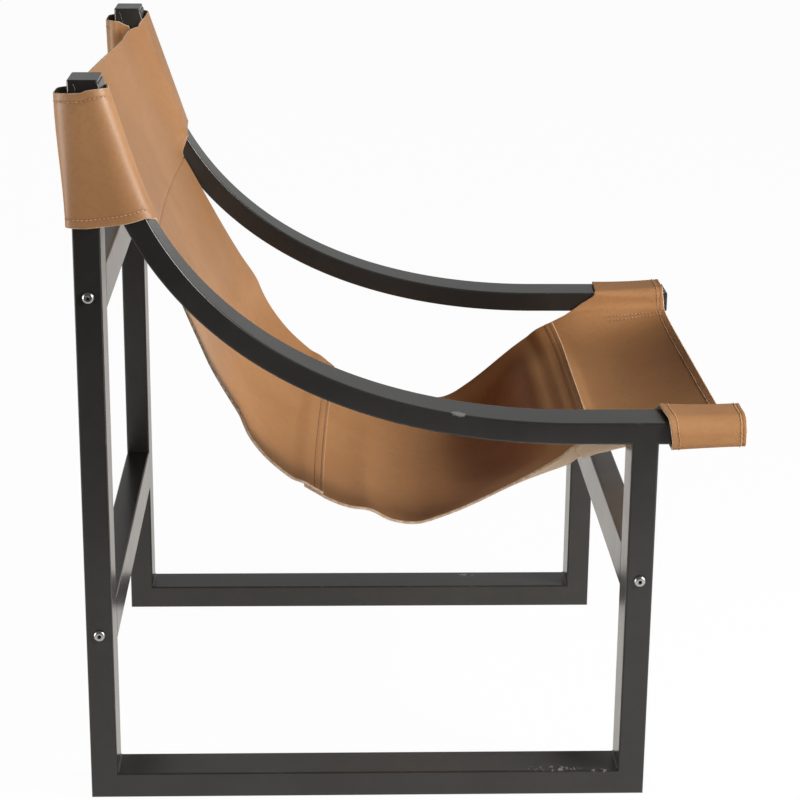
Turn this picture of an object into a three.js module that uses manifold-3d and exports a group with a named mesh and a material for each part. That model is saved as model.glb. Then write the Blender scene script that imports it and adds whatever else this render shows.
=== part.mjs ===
// Sling lounge chair: two welded side frames of rectangular steel tube, three bolted stretchers
// and a leather sling sewn from four panels, sleeved over the stubs and looped round the arm ends.
// Millimetres. +X is the front, +Y the sitter's left, +Z up. X is measured from the back of the posts;
// the finished chair is then centred over the origin, standing on Z = 0.

import * as THREE from 'three';
import { mergeVertices } from 'three/addons/utils/BufferGeometryUtils.js';
import Module from 'manifold-3d';

// Frame tube, and the side frame's footprint
const overallWidth = 610;
const baseDepth = 635;
const tubeFace = 30;
const tubeDepth = 52;
const tubeWall = 2;
const tubeEdgeRadius = 2.4;

// Curved arm: straight stub, one long bend, level run to the front
const armFace = 25;
const stubHeight = 826;
const stubDepth = 32;
const stubCapThickness = 3;
const stubCapEase = 0.8;
const armLeanDegrees = 15;
const armStraight = 83;
const armUpperHandle = 198;
const armLowerHandle = 270;
const armLevelFrom = 548;
const armHeight = 451;
const armReach = 727;
const armCapThickness = 2;
const armSteps = 48;

// Stretchers, at their centres: the upper one below the sleeves, the others above the floor
const upperStretcherDrop = 77;
const lowerStretcherHeight = 202;
const frontStretcherHeight = 265;
const plugLength = 24;

// Button-head screw
const screwShank = 6;
const screwGrip = 70;
const screwTip = 0.8;
const screwHead = 13;
const screwHeadHeight = 4;
const screwHeadRim = 0.8;
const screwSocketAcrossFlats = 4;
const screwSocketDepth = 2.4;

// Leather sling: sleeves and upper back
const leather = 3;
const stubShown = 14;
const sleeveLength = 142;
const sleeveSlackTop = 10;
const sleeveSlackBottom = 1.5;
const panelRecess = 19;
const panelTurn = 7;
const topEdgeDrop = 15;
const backSeamX = 85;
const backSeamDrop = 38;
const backBow = 12;

// Leather sling: lower back and seat
const backLeanDegrees = 24;
const backHandle = 270;
const lowerBackLength = 345;
const seatLowX = 385;
const seatLowHeight = 312;
const seatLowHandleBack = 120;
const seatLowHandleFront = 50;
const seatBow = 20;

// Leather sling: front panel and loops
const frontSeamX = 575;
const frontSeamDrop = 13;
const frontSeamSlopeDegrees = 28;
const frontSeamHandle = 60;
const frontEdgeInset = 3;
const frontEdgeRise = 1;
const loopEdgeRise = 4;
const loopEdgeLead = 60;
const loopTurnRise = 12;
const loopRear = 632;
const loopSweep = 15;
const loopFlapWidth = 22;
const seamLap = 22;
const seamRamp = 20;

// Clearances
const weldGap = 0.2;
const fitGap = 0.3;
const screwHoleGap = 0.5;
const leatherGap = 0.4;
const flapGap = 0.6;

// Values that follow from the sizes above
const outerHalf = overallWidth / 2;
const innerHalf = outerHalf - tubeDepth;
const frameMid = outerHalf - tubeDepth / 2;
const armUnderside = armHeight - armFace;
const armLean = THREE.MathUtils.degToRad(armLeanDegrees);
const tubeTop = stubHeight - stubCapThickness - weldGap;
const leatherInset = leatherGap + leather / 2;
const sleeveTop = stubHeight - stubShown;
const sleeveBottom = sleeveTop - sleeveLength;
const backSeamHeight = sleeveBottom - backSeamDrop;
const upperStretcherHeight = sleeveBottom - upperStretcherDrop;
const slingHalf = innerHalf - leatherInset - panelTurn;

const { lerp, smoothstep } = THREE.MathUtils;
const wasm = await Module();
wasm.setup();

// Welds a geometry's shared corners and hands it over as a solid.
function solidOf(geometry) {
  const bare = geometry.clone();
  bare.deleteAttribute('normal');
  bare.deleteAttribute('uv');
  const merged = mergeVertices(bare, 1e-4);
  return new wasm.Manifold(new wasm.Mesh({
    numProp: 3,
    vertProperties: new Float32Array(merged.attributes.position.array),
    triVerts: new Uint32Array(merged.index.array),
  }));
}

// Cuts solids out of a geometry.
function cut(geometry, ...cutters) {
  const left = cutters.reduce((body, cutter) => body.subtract(solidOf(cutter)), solidOf(geometry));
  const mesh = left.getMesh();
  const result = new THREE.BufferGeometry();
  result.setAttribute('position', new THREE.BufferAttribute(new Float32Array(mesh.vertProperties), 3));
  result.setIndex(new THREE.BufferAttribute(new Uint32Array(mesh.triVerts), 1));
  result.computeVertexNormals();
  return result;
}

// Rectangle centred on the origin, with rounded corners.
function roundedRectangle(width, height, radius) {
  const x = width / 2 - radius;
  const y = height / 2 - radius;
  const outline = new THREE.Shape();
  outline.absarc(x, y, radius, 0, Math.PI / 2);
  outline.absarc(-x, y, radius, Math.PI / 2, Math.PI);
  outline.absarc(-x, -y, radius, Math.PI, 1.5 * Math.PI);
  outline.absarc(x, -y, radius, 1.5 * Math.PI, 2 * Math.PI);
  outline.closePath();
  return outline;
}

function plainRectangle(width, height) {
  const outline = new THREE.Shape();
  outline.moveTo(-width / 2, -height / 2).lineTo(width / 2, -height / 2);
  outline.lineTo(width / 2, height / 2).lineTo(-width / 2, height / 2).closePath();
  return outline;
}

// Section of a rectangular tube: rounded outside, plain bore.
function tubeSection(width, height) {
  const section = roundedRectangle(width, height, tubeEdgeRadius);
  section.holes.push(plainRectangle(width - 2 * tubeWall, height - 2 * tubeWall));
  return section;
}

// Straight tube along Z. Each end face leans by its rise across the tube's narrow side.
function mitredTube(length, startRise, endRise) {
  const geometry = new THREE.ExtrudeGeometry(tubeSection(tubeFace, tubeDepth), {
    depth: length,
    bevelEnabled: false,
    curveSegments: 1,
  });
  const p = geometry.attributes.position;
  for (let i = 0; i < p.count; i += 1) {
    const start = startRise * p.getX(i) + Math.abs(startRise) * tubeFace / 2;
    const end = length + endRise * p.getX(i) - Math.abs(endRise) * tubeFace / 2;
    p.setZ(i, p.getZ(i) < length / 2 ? start : end);
  }
  return geometry;
}

// Centre line of an arm in the XZ plane.
const armDown = new THREE.Vector3(Math.sin(armLean), 0, -Math.cos(armLean));
const armForward = new THREE.Vector3(1, 0, 0);
const armTopPoint = new THREE.Vector3(stubDepth - armFace / 2 / Math.cos(armLean), 0, stubHeight);
const armBendPoint = armTopPoint.clone().addScaledVector(armDown, armStraight);
const armLevelPoint = new THREE.Vector3(armLevelFrom, 0, armHeight - armFace / 2);
const armEndPoint = new THREE.Vector3(armReach, 0, armHeight - armFace / 2);
const armLine = new THREE.CurvePath();
armLine.add(new THREE.LineCurve3(armTopPoint, armBendPoint));
armLine.add(new THREE.CubicBezierCurve3(
  armBendPoint,
  armBendPoint.clone().addScaledVector(armDown, armUpperHandle),
  armLevelPoint.clone().addScaledVector(armForward, -armLowerHandle),
  armLevelPoint,
));
armLine.add(new THREE.LineCurve3(armLevelPoint, armEndPoint));

// Slides one end of a swept section along its run until it lies on the plane axis = value.
function trimEnd(geometry, end, along, axis, value) {
  const p = geometry.attributes.position;
  const point = new THREE.Vector3();
  for (let i = 0; i < p.count; i += 1) {
    point.fromBufferAttribute(p, i);
    const past = point.clone().sub(end).dot(along);
    if (past > -weldGap) {
      point.addScaledVector(along, (value - point[axis]) / along[axis]);
      p.setXYZ(i, point.x, point.y, point.z);
    }
  }
}

// A section swept along the arm's centre line, cut level under the stub's cap and square at the front.
function sweptArm(section) {
  const geometry = new THREE.ExtrudeGeometry(section, {
    extrudePath: armLine,
    steps: armSteps,
    curveSegments: 1,
  });
  trimEnd(geometry, armTopPoint, armDown.clone().negate(), 'z', tubeTop);
  trimEnd(geometry, armEndPoint, armForward, 'x', armReach);
  return geometry;
}

// X of the arm's front face, moved out by a distance, at a height.
function armFrontAt(height, distance) {
  const samples = 240;
  let before = null;
  for (let i = 0; i <= samples; i += 1) {
    const tangent = armLine.getTangentAt(i / samples);
    const here = armLine.getPointAt(i / samples);
    here.x -= tangent.z * (armFace / 2 + distance);
    here.z += tangent.x * (armFace / 2 + distance);
    if (before && here.z <= height) {
      return lerp(here.x, before.x, (height - here.z) / (before.z - here.z));
    }
    before = here;
  }
  return before.x;
}

const chair = new THREE.Group();
const steel = { color: 0x2b2a28, roughness: 0.45, metalness: 0.3 };
const stainless = { color: 0xb9b8b4, roughness: 0.3, metalness: 1 };
const nylon = { color: 0x1d1d1d, roughness: 0.6, metalness: 0 };
const tanLeather = { color: 0xb27c50, roughness: 0.55, metalness: 0, side: THREE.DoubleSide };

function place(name, geometry, finish, x = 0, y = 0, z = 0) {
  const mesh = new THREE.Mesh(geometry, new THREE.MeshStandardMaterial(finish));
  mesh.name = name;
  mesh.position.set(x, y, z);
  chair.add(mesh);
  return mesh;
}

// Screw hole across a tube, through both of its walls.
function crossHole(x, z) {
  const hole = new THREE.CylinderGeometry(
    screwShank / 2 + screwHoleGap,
    screwShank / 2 + screwHoleGap,
    tubeDepth + 2 * tubeWall,
    16,
  );
  return hole.translate(x, 0, z);
}

// Side frames: each piece is made about the middle of its frame and set to one side.
const armCutter = sweptArm(plainRectangle(tubeDepth + 2 * tubeWall, armFace + 2 * weldGap));
const postX = tubeFace / 2;
const legX = baseDepth - tubeFace / 2;

const postTube = mitredTube(tubeTop - weldGap, 1, 0).translate(postX, 0, weldGap);
const post = cut(
  postTube,
  armCutter,
  crossHole(postX, upperStretcherHeight),
  crossHole(postX, lowerStretcherHeight),
);
const legTube = mitredTube(armHeight - armFace / 2, -1, 0).translate(legX, 0, weldGap);
const leg = cut(legTube, armCutter, crossHole(legX, frontStretcherHeight));
const rail = mitredTube(baseDepth, -1, 1).rotateY(Math.PI / 2).translate(0, 0, tubeFace / 2);
const arm = sweptArm(tubeSection(tubeDepth, armFace));

const armCap = new THREE.ExtrudeGeometry(
  plainRectangle(armFace - 2 * (tubeWall + fitGap), tubeDepth - 2 * (tubeWall + fitGap)),
  { depth: armCapThickness, bevelEnabled: false },
);
armCap.rotateY(Math.PI / 2).translate(armReach - armCapThickness, 0, armHeight - armFace / 2);

const stubCap = new THREE.ExtrudeGeometry(
  roundedRectangle(stubDepth - 2 * stubCapEase, tubeDepth - 2 * stubCapEase, tubeEdgeRadius - stubCapEase),
  {
    depth: stubCapThickness - 2 * stubCapEase,
    bevelThickness: stubCapEase,
    bevelSize: stubCapEase,
    bevelSegments: 2,
    curveSegments: 1,
  },
);
stubCap.translate(stubDepth / 2, 0, stubHeight - stubCapThickness + stubCapEase);

const sides = [['right', -1], ['left', 1]];
for (const [side, sign] of sides) {
  place(`rear_post_${side}`, post.clone(), steel, 0, sign * frameMid);
  place(`bottom_rail_${side}`, rail.clone(), steel, 0, sign * frameMid);
  place(`front_leg_${side}`, leg.clone(), steel, 0, sign * frameMid);
  place(`arm_${side}`, arm.clone(), steel, 0, sign * frameMid);
  place(`stub_cap_${side}`, stubCap.clone(), steel, 0, sign * frameMid);
  place(`arm_end_cap_${side}`, armCap.clone(), steel, 0, sign * frameMid);
}

// Stretchers, with a threaded plug in each end and a screw through the side frame into it.
const stretcherLength = 2 * (innerHalf - fitGap);
const stretcher = new THREE.ExtrudeGeometry(tubeSection(tubeFace, tubeDepth), {
  depth: stretcherLength,
  bevelEnabled: false,
  curveSegments: 1,
});
stretcher.translate(0, 0, -stretcherLength / 2).rotateX(Math.PI / 2);

const plugSection = plainRectangle(
  tubeFace - 2 * (tubeWall + fitGap),
  tubeDepth - 2 * (tubeWall + fitGap),
);
const plugBore = new THREE.Path();
plugBore.absarc(0, 0, screwShank / 2 + fitGap, 0, 2 * Math.PI, true);
plugSection.holes.push(plugBore);
const plug = new THREE.ExtrudeGeometry(plugSection, {
  depth: plugLength,
  bevelEnabled: false,
  curveSegments: 8,
});
plug.rotateX(Math.PI / 2);

// Screw on the Y axis, seated at Y = 0 with its domed head towards +Y.
function buttonScrew() {
  const socketRadius = screwSocketAcrossFlats / Math.sqrt(3);
  const crownRadius = socketRadius + screwHeadRim;
  const profile = new THREE.Path();
  profile.moveTo(0, -screwGrip);
  profile.lineTo(screwShank / 2 - screwTip, -screwGrip);
  profile.lineTo(screwShank / 2, screwTip - screwGrip);
  profile.lineTo(screwShank / 2, 0);
  profile.lineTo(screwHead / 2, 0);
  profile.lineTo(screwHead / 2, screwHeadRim);
  profile.quadraticCurveTo(screwHead / 2, screwHeadHeight, crownRadius, screwHeadHeight);
  profile.lineTo(0, screwHeadHeight);
  const body = new THREE.LatheGeometry(profile.getPoints(4), 20);
  const socket = new THREE.CylinderGeometry(socketRadius, socketRadius, 2 * screwSocketDepth, 6);
  socket.translate(0, screwHeadHeight, 0);
  return cut(body, socket);
}
const screw = buttonScrew();

const stretchers = [
  ['rear_upper', postX, upperStretcherHeight],
  ['rear_lower', postX, lowerStretcherHeight],
  ['front', legX, frontStretcherHeight],
];
for (const [where, x, z] of stretchers) {
  place(`${where}_stretcher`, stretcher.clone(), steel, x, 0, z);
  for (const [side, sign] of sides) {
    const plugMesh = place(`${where}_plug_${side}`, plug.clone(), nylon, x, 0, z);
    plugMesh.position.y = sign > 0 ? innerHalf - fitGap : plugLength - innerHalf + fitGap;
    const screwMesh = place(`${where}_screw_${side}`, screw.clone(), stainless, x, sign * (outerHalf + weldGap), z);
    screwMesh.rotation.z = sign > 0 ? 0 : Math.PI;
  }
}

// Sling line: the side edge of the leather in the XZ plane, from the top edge to the front edge.
function at(x, z) {
  return new THREE.Vector3(x, 0, z);
}
const frontSlope = THREE.MathUtils.degToRad(frontSeamSlopeDegrees);
const topHeight = sleeveTop - topEdgeDrop;
const slingTop = at(armFrontAt(topHeight, 0) - panelRecess, topHeight);
const slingBackSeam = at(backSeamX, backSeamHeight);
const slingLow = at(seatLowX, seatLowHeight);
const slingFrontSeam = at(frontSeamX, armUnderside - frontSeamDrop);
const slingFront = at(armReach - frontEdgeInset, armUnderside + loopEdgeRise);
const upperSlope = slingBackSeam.clone().sub(slingTop).normalize();
const backLean = THREE.MathUtils.degToRad(backLeanDegrees);
const backDirection = at(Math.sin(backLean), -Math.cos(backLean));
const seamDirection = at(Math.cos(frontSlope), Math.sin(frontSlope));
const edgeLine = new THREE.CurvePath();
edgeLine.add(new THREE.LineCurve3(slingTop, slingBackSeam));
edgeLine.add(new THREE.CubicBezierCurve3(
  slingBackSeam,
  slingBackSeam.clone().addScaledVector(backDirection, backHandle),
  slingLow.clone().addScaledVector(armForward, -seatLowHandleBack),
  slingLow,
));
edgeLine.add(new THREE.CubicBezierCurve3(
  slingLow,
  slingLow.clone().addScaledVector(armForward, seatLowHandleFront),
  slingFrontSeam.clone().addScaledVector(seamDirection, -frontSeamHandle),
  slingFrontSeam,
));
edgeLine.add(new THREE.CubicBezierCurve3(
  slingFrontSeam,
  slingFrontSeam.clone().addScaledVector(seamDirection, loopEdgeLead / 2),
  at(frontSeamX + loopEdgeLead, armUnderside + loopEdgeRise),
  slingFront,
));

// Distances along that line, from the top edge.
const [toBackSeam, toLow, toFrontSeam, toFront] = edgeLine.getCurveLengths();
const toSeatSeam = toBackSeam + lowerBackLength;

// Point of the sling at a distance from its top edge and a place across it, from -1 to 1.
// The middle bows away from the sitter between the two edges; towards the front the panel
// flattens out and only its margins turn up to the loops.
const frontMiddle = at(armReach - frontEdgeInset, armUnderside + frontEdgeRise);
function edgeAt(distance) {
  return edgeLine.getPoint(THREE.MathUtils.clamp(distance / toFront, 0, 1));
}
function bowedMiddle(distance) {
  const tangent = edgeAt(distance + 1).sub(edgeAt(distance - 1)).normalize();
  const bow = lerp(backBow, seatBow, smoothstep(distance, toBackSeam, toSeatSeam));
  return edgeAt(distance).add(at(tangent.z * bow, -tangent.x * bow));
}
const seamMiddle = bowedMiddle(toFrontSeam);
function slingPoint(distance, across) {
  const along = (distance - toFrontSeam) / (toFront - toFrontSeam);
  const middle = along > 0 ? seamMiddle.clone().lerp(frontMiddle, along) : bowedMiddle(distance);
  const power = lerp(2, 3, smoothstep(distance, toLow, toFrontSeam)) + 5 * smoothstep(along, 0, 1);
  const point = middle.lerp(edgeAt(distance), Math.abs(across) ** power);
  point.y = across * slingHalf;
  return point;
}

// Leather solid of even thickness about a grid of points. Rows run from the top of the sling to its
// front and columns to +Y. The lift of a point moves it towards the sitter, for a lapped seam.
function leatherSheet(rows, lift = () => 0) {
  const rowCount = rows.length;
  const columnCount = rows[0].length;
  const face = [];
  const back = [];
  for (let i = 0; i < rowCount; i += 1) {
    for (let j = 0; j < columnCount; j += 1) {
      const down = rows[Math.min(i + 1, rowCount - 1)][j].clone().sub(rows[Math.max(i - 1, 0)][j]);
      const over = rows[i][Math.min(j + 1, columnCount - 1)].clone().sub(rows[i][Math.max(j - 1, 0)]);
      const normal = down.cross(over).normalize();
      face.push(rows[i][j].clone().addScaledVector(normal, lift(i, j) + leather / 2));
      back.push(rows[i][j].clone().addScaledVector(normal, lift(i, j) - leather / 2));
    }
  }
  const index = [];
  const behind = face.length;
  for (let i = 0; i + 1 < rowCount; i += 1) {
    for (let j = 0; j + 1 < columnCount; j += 1) {
      const a = i * columnCount + j;
      const b = a + 1;
      const c = b + columnCount;
      const d = a + columnCount;
      index.push(a, d, c, a, c, b);
      index.push(behind + a, behind + c, behind + d, behind + a, behind + b, behind + c);
    }
  }
  const rim = [];
  for (let i = 0; i + 1 < rowCount; i += 1) rim.push(i * columnCount);
  for (let j = 0; j + 1 < columnCount; j += 1) rim.push((rowCount - 1) * columnCount + j);
  for (let i = rowCount - 1; i > 0; i -= 1) rim.push(i * columnCount + columnCount - 1);
  for (let j = columnCount - 1; j > 0; j -= 1) rim.push(j);
  rim.forEach((here, k) => {
    const next = rim[(k + 1) % rim.length];
    index.push(next, here, behind + here, next, behind + here, behind + next);
  });
  const geometry = new THREE.BufferGeometry().setFromPoints([...face, ...back]);
  geometry.setIndex(index);
  geometry.computeVertexNormals();
  return geometry;
}

// Even spread of count + 1 values.
function spread(from, to, count) {
  return Array.from({ length: count + 1 }, (_, i) => lerp(from, to, i / count));
}

// Corners of a path: two steps to a straight, four to a curve.
function pathCorners(path) {
  return path.curves.flatMap((curve) => curve.getPoints(curve.isLineCurve ? 2 : 4).slice(1));
}

// Lifts of the two halves of a lapped seam: the upper sheet rises on to the lower one, which dips.
const lapLift = (leather + fitGap) / 2;
function lapOver(distance, seam) {
  return lapLift * smoothstep(distance, seam - seamLap - seamRamp, seam - seamLap);
}
function lapUnder(distance, seam) {
  return lapLift * (smoothstep(distance, seam, seam + seamRamp) - 1);
}

// Upper back panel. Beyond each side edge the leather turns forward along the inside of the arm, over
// its front, back along the outside, loosely round the post and home to the panel's own edge.
function sleevePath(height) {
  const slack = lerp(sleeveSlackBottom, sleeveSlackTop, smoothstep(height, sleeveBottom, sleeveTop));
  const corner = tubeEdgeRadius + leatherInset;
  const edgeX = slingPoint((topHeight - height) / -upperSlope.z, 1).x;
  const front = armFrontAt(height, leatherInset);
  const rear = -leatherInset - slack;
  const rearCorner = corner + slack;
  const inner = innerHalf - leatherInset;
  const outer = outerHalf + leatherInset;
  const path = new THREE.Path();
  path.moveTo(edgeX, slingHalf);
  path.quadraticCurveTo(edgeX, inner, edgeX + panelTurn, inner);
  path.absarc(front - corner, inner + corner, corner, -Math.PI / 2, 0);
  path.absarc(front - corner, outer - corner, corner, 0, Math.PI / 2);
  path.absarc(rear + rearCorner, outer - rearCorner, rearCorner, Math.PI / 2, Math.PI);
  path.absarc(rear + rearCorner, inner + rearCorner, rearCorner, Math.PI, 1.5 * Math.PI);
  path.lineTo(edgeX - leather / 2 - fitGap - leatherGap, inner);
  return pathCorners(path);
}

function upperBackPanel() {
  const rowCount = 7;
  const turnColumns = 3;
  const rows = spread(0, 1, rowCount).map((share) => {
    const middle = spread(-1, 1, 16).map((across) => slingPoint(share * (toBackSeam - fitGap / 2), across));
    const columns = sleevePath(sleeveTop).length;
    const sleeve = Array.from({ length: columns }, (_, k) => {
      const turned = smoothstep(k + 1, 0, turnColumns + 1);
      const top = lerp(topHeight, sleeveTop, turned);
      const bottom = lerp(backSeamHeight, sleeveBottom, turned);
      const height = lerp(top, bottom, share);
      const corner = sleevePath(height)[k];
      return new THREE.Vector3(corner.x, corner.y, height);
    });
    const mirrored = sleeve.map((p) => new THREE.Vector3(p.x, -p.y, p.z)).reverse();
    return [...mirrored, ...middle, ...sleeve];
  });
  return leatherSheet(rows);
}
place('upper_back_panel', upperBackPanel(), tanLeather);

// Lower back panel, lapped over the seat panel at its foot.
function plainPanel(distances, lift) {
  const rows = distances.map((d) => spread(-1, 1, 16).map((across) => slingPoint(d, across)));
  return leatherSheet(rows, (i) => lift(distances[i]));
}
const backRows = [
  ...spread(toBackSeam + fitGap / 2, toSeatSeam - seamLap - seamRamp, 10),
  ...spread(toSeatSeam - seamLap, toSeatSeam, 1),
];
place('lower_back_panel', plainPanel(backRows, (d) => lapOver(d, toSeatSeam)), tanLeather);

// Seat panel, tucked under the lower back and lapped over the front panel.
const seatRows = [
  ...spread(toSeatSeam - seamLap, toSeatSeam, 1),
  ...spread(toSeatSeam + seamRamp, toFrontSeam - seamLap - seamRamp, 12),
  ...spread(toFrontSeam - seamLap, toFrontSeam, 1),
];
place('seat_panel', plainPanel(seatRows, (d) => lapUnder(d, toSeatSeam) + lapOver(d, toFrontSeam)), tanLeather);

// Front panel. Beyond each side edge a tab turns up inside the arm, over its top, down the outside and
// back underneath, where its end is sewn against the panel.
function loopPath(x) {
  const along = THREE.MathUtils.clamp((x - frontSeamX) / (slingFront.x - frontSeamX), 0, 1);
  const distance = lerp(toFrontSeam, toFront, along);
  const edge = slingPoint(distance, 1);
  const corner = tubeEdgeRadius + leatherInset;
  const inner = innerHalf - leatherInset;
  const nearEdge = innerHalf + tubeEdgeRadius;
  const farEdge = outerHalf - tubeEdgeRadius;
  const path = new THREE.Path();
  path.moveTo(slingHalf, edge.z);
  path.quadraticCurveTo(inner, edge.z + panelTurn / 2, inner, edge.z + loopTurnRise);
  path.absarc(nearEdge, armHeight - tubeEdgeRadius, corner, Math.PI, Math.PI / 2, true);
  path.absarc(farEdge, armHeight - tubeEdgeRadius, corner, Math.PI / 2, 0, true);
  path.absarc(farEdge, armUnderside + tubeEdgeRadius, corner, 0, -Math.PI / 2, true);
  path.lineTo(nearEdge + tubeEdgeRadius, armUnderside - leatherInset);
  const tab = pathCorners(path);
  const flap = spread(0.98, 1 - loopFlapWidth / slingHalf, 2).map((across) => {
    const under = slingPoint(distance, across);
    const slope = slingPoint(distance, across + 0.005).sub(slingPoint(distance, across - 0.005));
    const normal = new THREE.Vector2(-slope.z, slope.y).normalize();
    return new THREE.Vector2(under.y, under.z).addScaledVector(normal, -leather - flapGap);
  });
  return [...tab, ...flap];
}

function frontPanel() {
  const rowCount = 6;
  const columns = loopPath(armReach).length;
  const turnColumns = 8;
  const fromRow = toFrontSeam - seamLap;
  const across = spread(-1, 1, 18).map((v) => Math.sin(v * Math.PI / 2.4) / Math.sin(Math.PI / 2.4));
  const rows = spread(0, 1, rowCount).map((share) => {
    const distance = lerp(fromRow, toFront, share);
    const middle = across.map((v) => slingPoint(distance, v));
    const loop = Array.from({ length: columns }, (_, k) => {
      const swept = smoothstep(k + 1, 0, turnColumns);
      const start = lerp(frontSeamX, loopRear, swept) + loopSweep * smoothstep(k, turnColumns, columns);
      const x = lerp(start, slingFront.x, share);
      const corner = loopPath(x)[k];
      return new THREE.Vector3(x, corner.x, corner.y);
    });
    const mirrored = loop.map((p) => new THREE.Vector3(p.x, -p.y, p.z)).reverse();
    return [...mirrored, ...middle, ...loop];
  });
  const lift = (i, j) => (j < columns || j >= columns + across.length
    ? 0 : lapUnder(lerp(fromRow, toFront, i / rowCount), toFrontSeam));
  return leatherSheet(rows, lift);
}
place('front_panel', frontPanel(), tanLeather);

// Centre the chair over the origin.
const box = new THREE.Box3().setFromObject(chair);
chair.position.x = -(box.min.x + box.max.x) / 2;

export default chair;
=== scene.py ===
"""Sling lounge chair: two painted steel side frames, three bolted stretchers and a sewn leather sling."""

import bmesh
import bpy
import numpy as np
from mathutils import Matrix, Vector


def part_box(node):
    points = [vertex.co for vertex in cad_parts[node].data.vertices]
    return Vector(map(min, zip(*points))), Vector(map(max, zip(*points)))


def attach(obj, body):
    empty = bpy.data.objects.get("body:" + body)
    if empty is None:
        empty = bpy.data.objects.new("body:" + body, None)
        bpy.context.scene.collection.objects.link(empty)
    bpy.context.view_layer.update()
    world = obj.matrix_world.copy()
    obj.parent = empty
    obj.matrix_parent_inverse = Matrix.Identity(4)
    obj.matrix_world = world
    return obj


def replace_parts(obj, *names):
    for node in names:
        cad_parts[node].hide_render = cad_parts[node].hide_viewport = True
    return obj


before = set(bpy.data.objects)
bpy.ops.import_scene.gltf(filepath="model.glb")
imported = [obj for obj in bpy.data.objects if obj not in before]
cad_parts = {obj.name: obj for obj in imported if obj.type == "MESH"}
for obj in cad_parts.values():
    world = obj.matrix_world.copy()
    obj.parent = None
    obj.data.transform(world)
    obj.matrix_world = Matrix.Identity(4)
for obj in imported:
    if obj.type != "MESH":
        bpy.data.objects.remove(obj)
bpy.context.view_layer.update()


# Side frames
# Each side is a post, a floor rail and a front leg of 52 by 30 mm steel tube, mitred and welded at
# the bottom corners, ground flush and powder coated. The post's head is cut to the slope of the arm.

class Wire:
    """A socket of a material. Sums and products of wires and numbers add Math nodes."""

    def __init__(self, tree, socket=None):
        self.tree, self.socket = tree, socket

    def node(self, kind, settings, inputs, out=0):
        """Adds a node: its settings first, then the value or link of each named or numbered input."""
        made = self.tree.nodes.new(kind)
        for name, value in settings.items():
            setattr(made, name, value)
        for name, value in inputs.items():
            if isinstance(value, Wire):
                self.tree.links.new(value.socket, made.inputs[name])
            else:
                made.inputs[name].default_value = value
        return Wire(self.tree, made.outputs[out])

    def into(self, socket):
        """Links this wire to an input."""
        self.tree.links.new(self.socket, socket)

    def math(self, operation, *values):
        """Adds a Math node on wires or numbers."""
        return self.node("ShaderNodeMath", {"operation": operation}, dict(enumerate(values)))

    def __add__(self, other):
        return self.math("ADD", self, other)

    def __sub__(self, other):
        return self.math("SUBTRACT", self, other)

    def __rsub__(self, other):
        return self.math("SUBTRACT", other, self)

    def __mul__(self, other):
        return self.math("MULTIPLY", self, other)

    __radd__ = __add__
    __rmul__ = __mul__


def new_finish(name):
    """A material with one Principled shader: the material, its Object coordinates, the shader's inputs."""
    material = bpy.data.materials.new(name)
    material.use_nodes = True
    tree = material.node_tree
    place = Wire(tree).node("ShaderNodeTexCoord", {}, {}, out="Object")
    return material, place, tree.nodes["Principled BSDF"].inputs


def marked(place, name):
    """The value that a piece's points hold under a name."""
    return place.node("ShaderNodeAttribute", {"attribute_name": name}, {}, out="Fac")


def noise(place, scale, detail=2.0, roughness=0.5):
    """Soft random values about 0.5, so many to the metre."""
    return place.node("ShaderNodeTexNoise", {}, {
        "Vector": place, "Scale": scale, "Detail": detail, "Roughness": roughness})


def rise(value, low, high):
    """0 below low, 1 above high, eased between."""
    return value.node("ShaderNodeMapRange", {"interpolation_type": "SMOOTHSTEP"}, {
        "Value": value, "From Min": low, "From Max": high})


def blend(share, first, second):
    """Two colours mixed by a share."""
    return share.node("ShaderNodeMix", {"data_type": "RGBA"}, {0: share, 6: first, 7: second}, out=2)


def stretched(place, x, y, z):
    """Place with each axis scaled, so that a pattern runs along one of them."""
    return place.node("ShaderNodeMapping", {}, {"Vector": place, "Scale": (x, y, z)})


def bumped(height, shader, depth, strength):
    """Relief of a given depth in metres from a height between 0 and 1."""
    height.node("ShaderNodeBump", {}, {
        "Height": height, "Distance": depth, "Strength": strength}).into(shader["Normal"])


post_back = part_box("rear_post_right")[0][0]
frame_middle = (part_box("rear_post_left")[0][1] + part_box("rear_post_left")[1][1]) / 2

coat_black = (0.0215, 0.0200, 0.0184, 1.0)
coat_bloom = (0.0285, 0.0265, 0.0245, 1.0)
coat_rubbed = (0.1050, 0.1020, 0.0980, 1.0)
coat_worn = (0.2300, 0.2230, 0.2130, 1.0)
knock_at, knock_reach = (post_back + 0.4135, -0.3015, 0.4620), (0.0110, 0.0060, 0.0050)
scuffs_at = (((post_back + 0.5320, -0.2985, 0.0300), (0.0360, 0.0075, 0.0030)),
             ((post_back + 0.5850, -0.3030, 0.0290), (0.0140, 0.0035, 0.0020)),
             ((post_back + 0.4720, 0.2960, 0.0300), (0.0200, 0.0090, 0.0030)))


def worn_spot(place, centre, reach):
    """1 inside an ellipsoid about a centre, ragged towards its border."""
    moved = place.node("ShaderNodeMapping", {}, {
        "Vector": place, "Location": tuple(-c / r for c, r in zip(centre, reach)),
        "Scale": tuple(1 / r for r in reach)})
    far = place.node("ShaderNodeVectorMath", {"operation": "LENGTH"}, {0: moved}, out="Value")
    return 1.0 - rise(far + noise(place, 240.0, 3.0) * 1.2 - 0.6, 0.55, 0.95)


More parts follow.
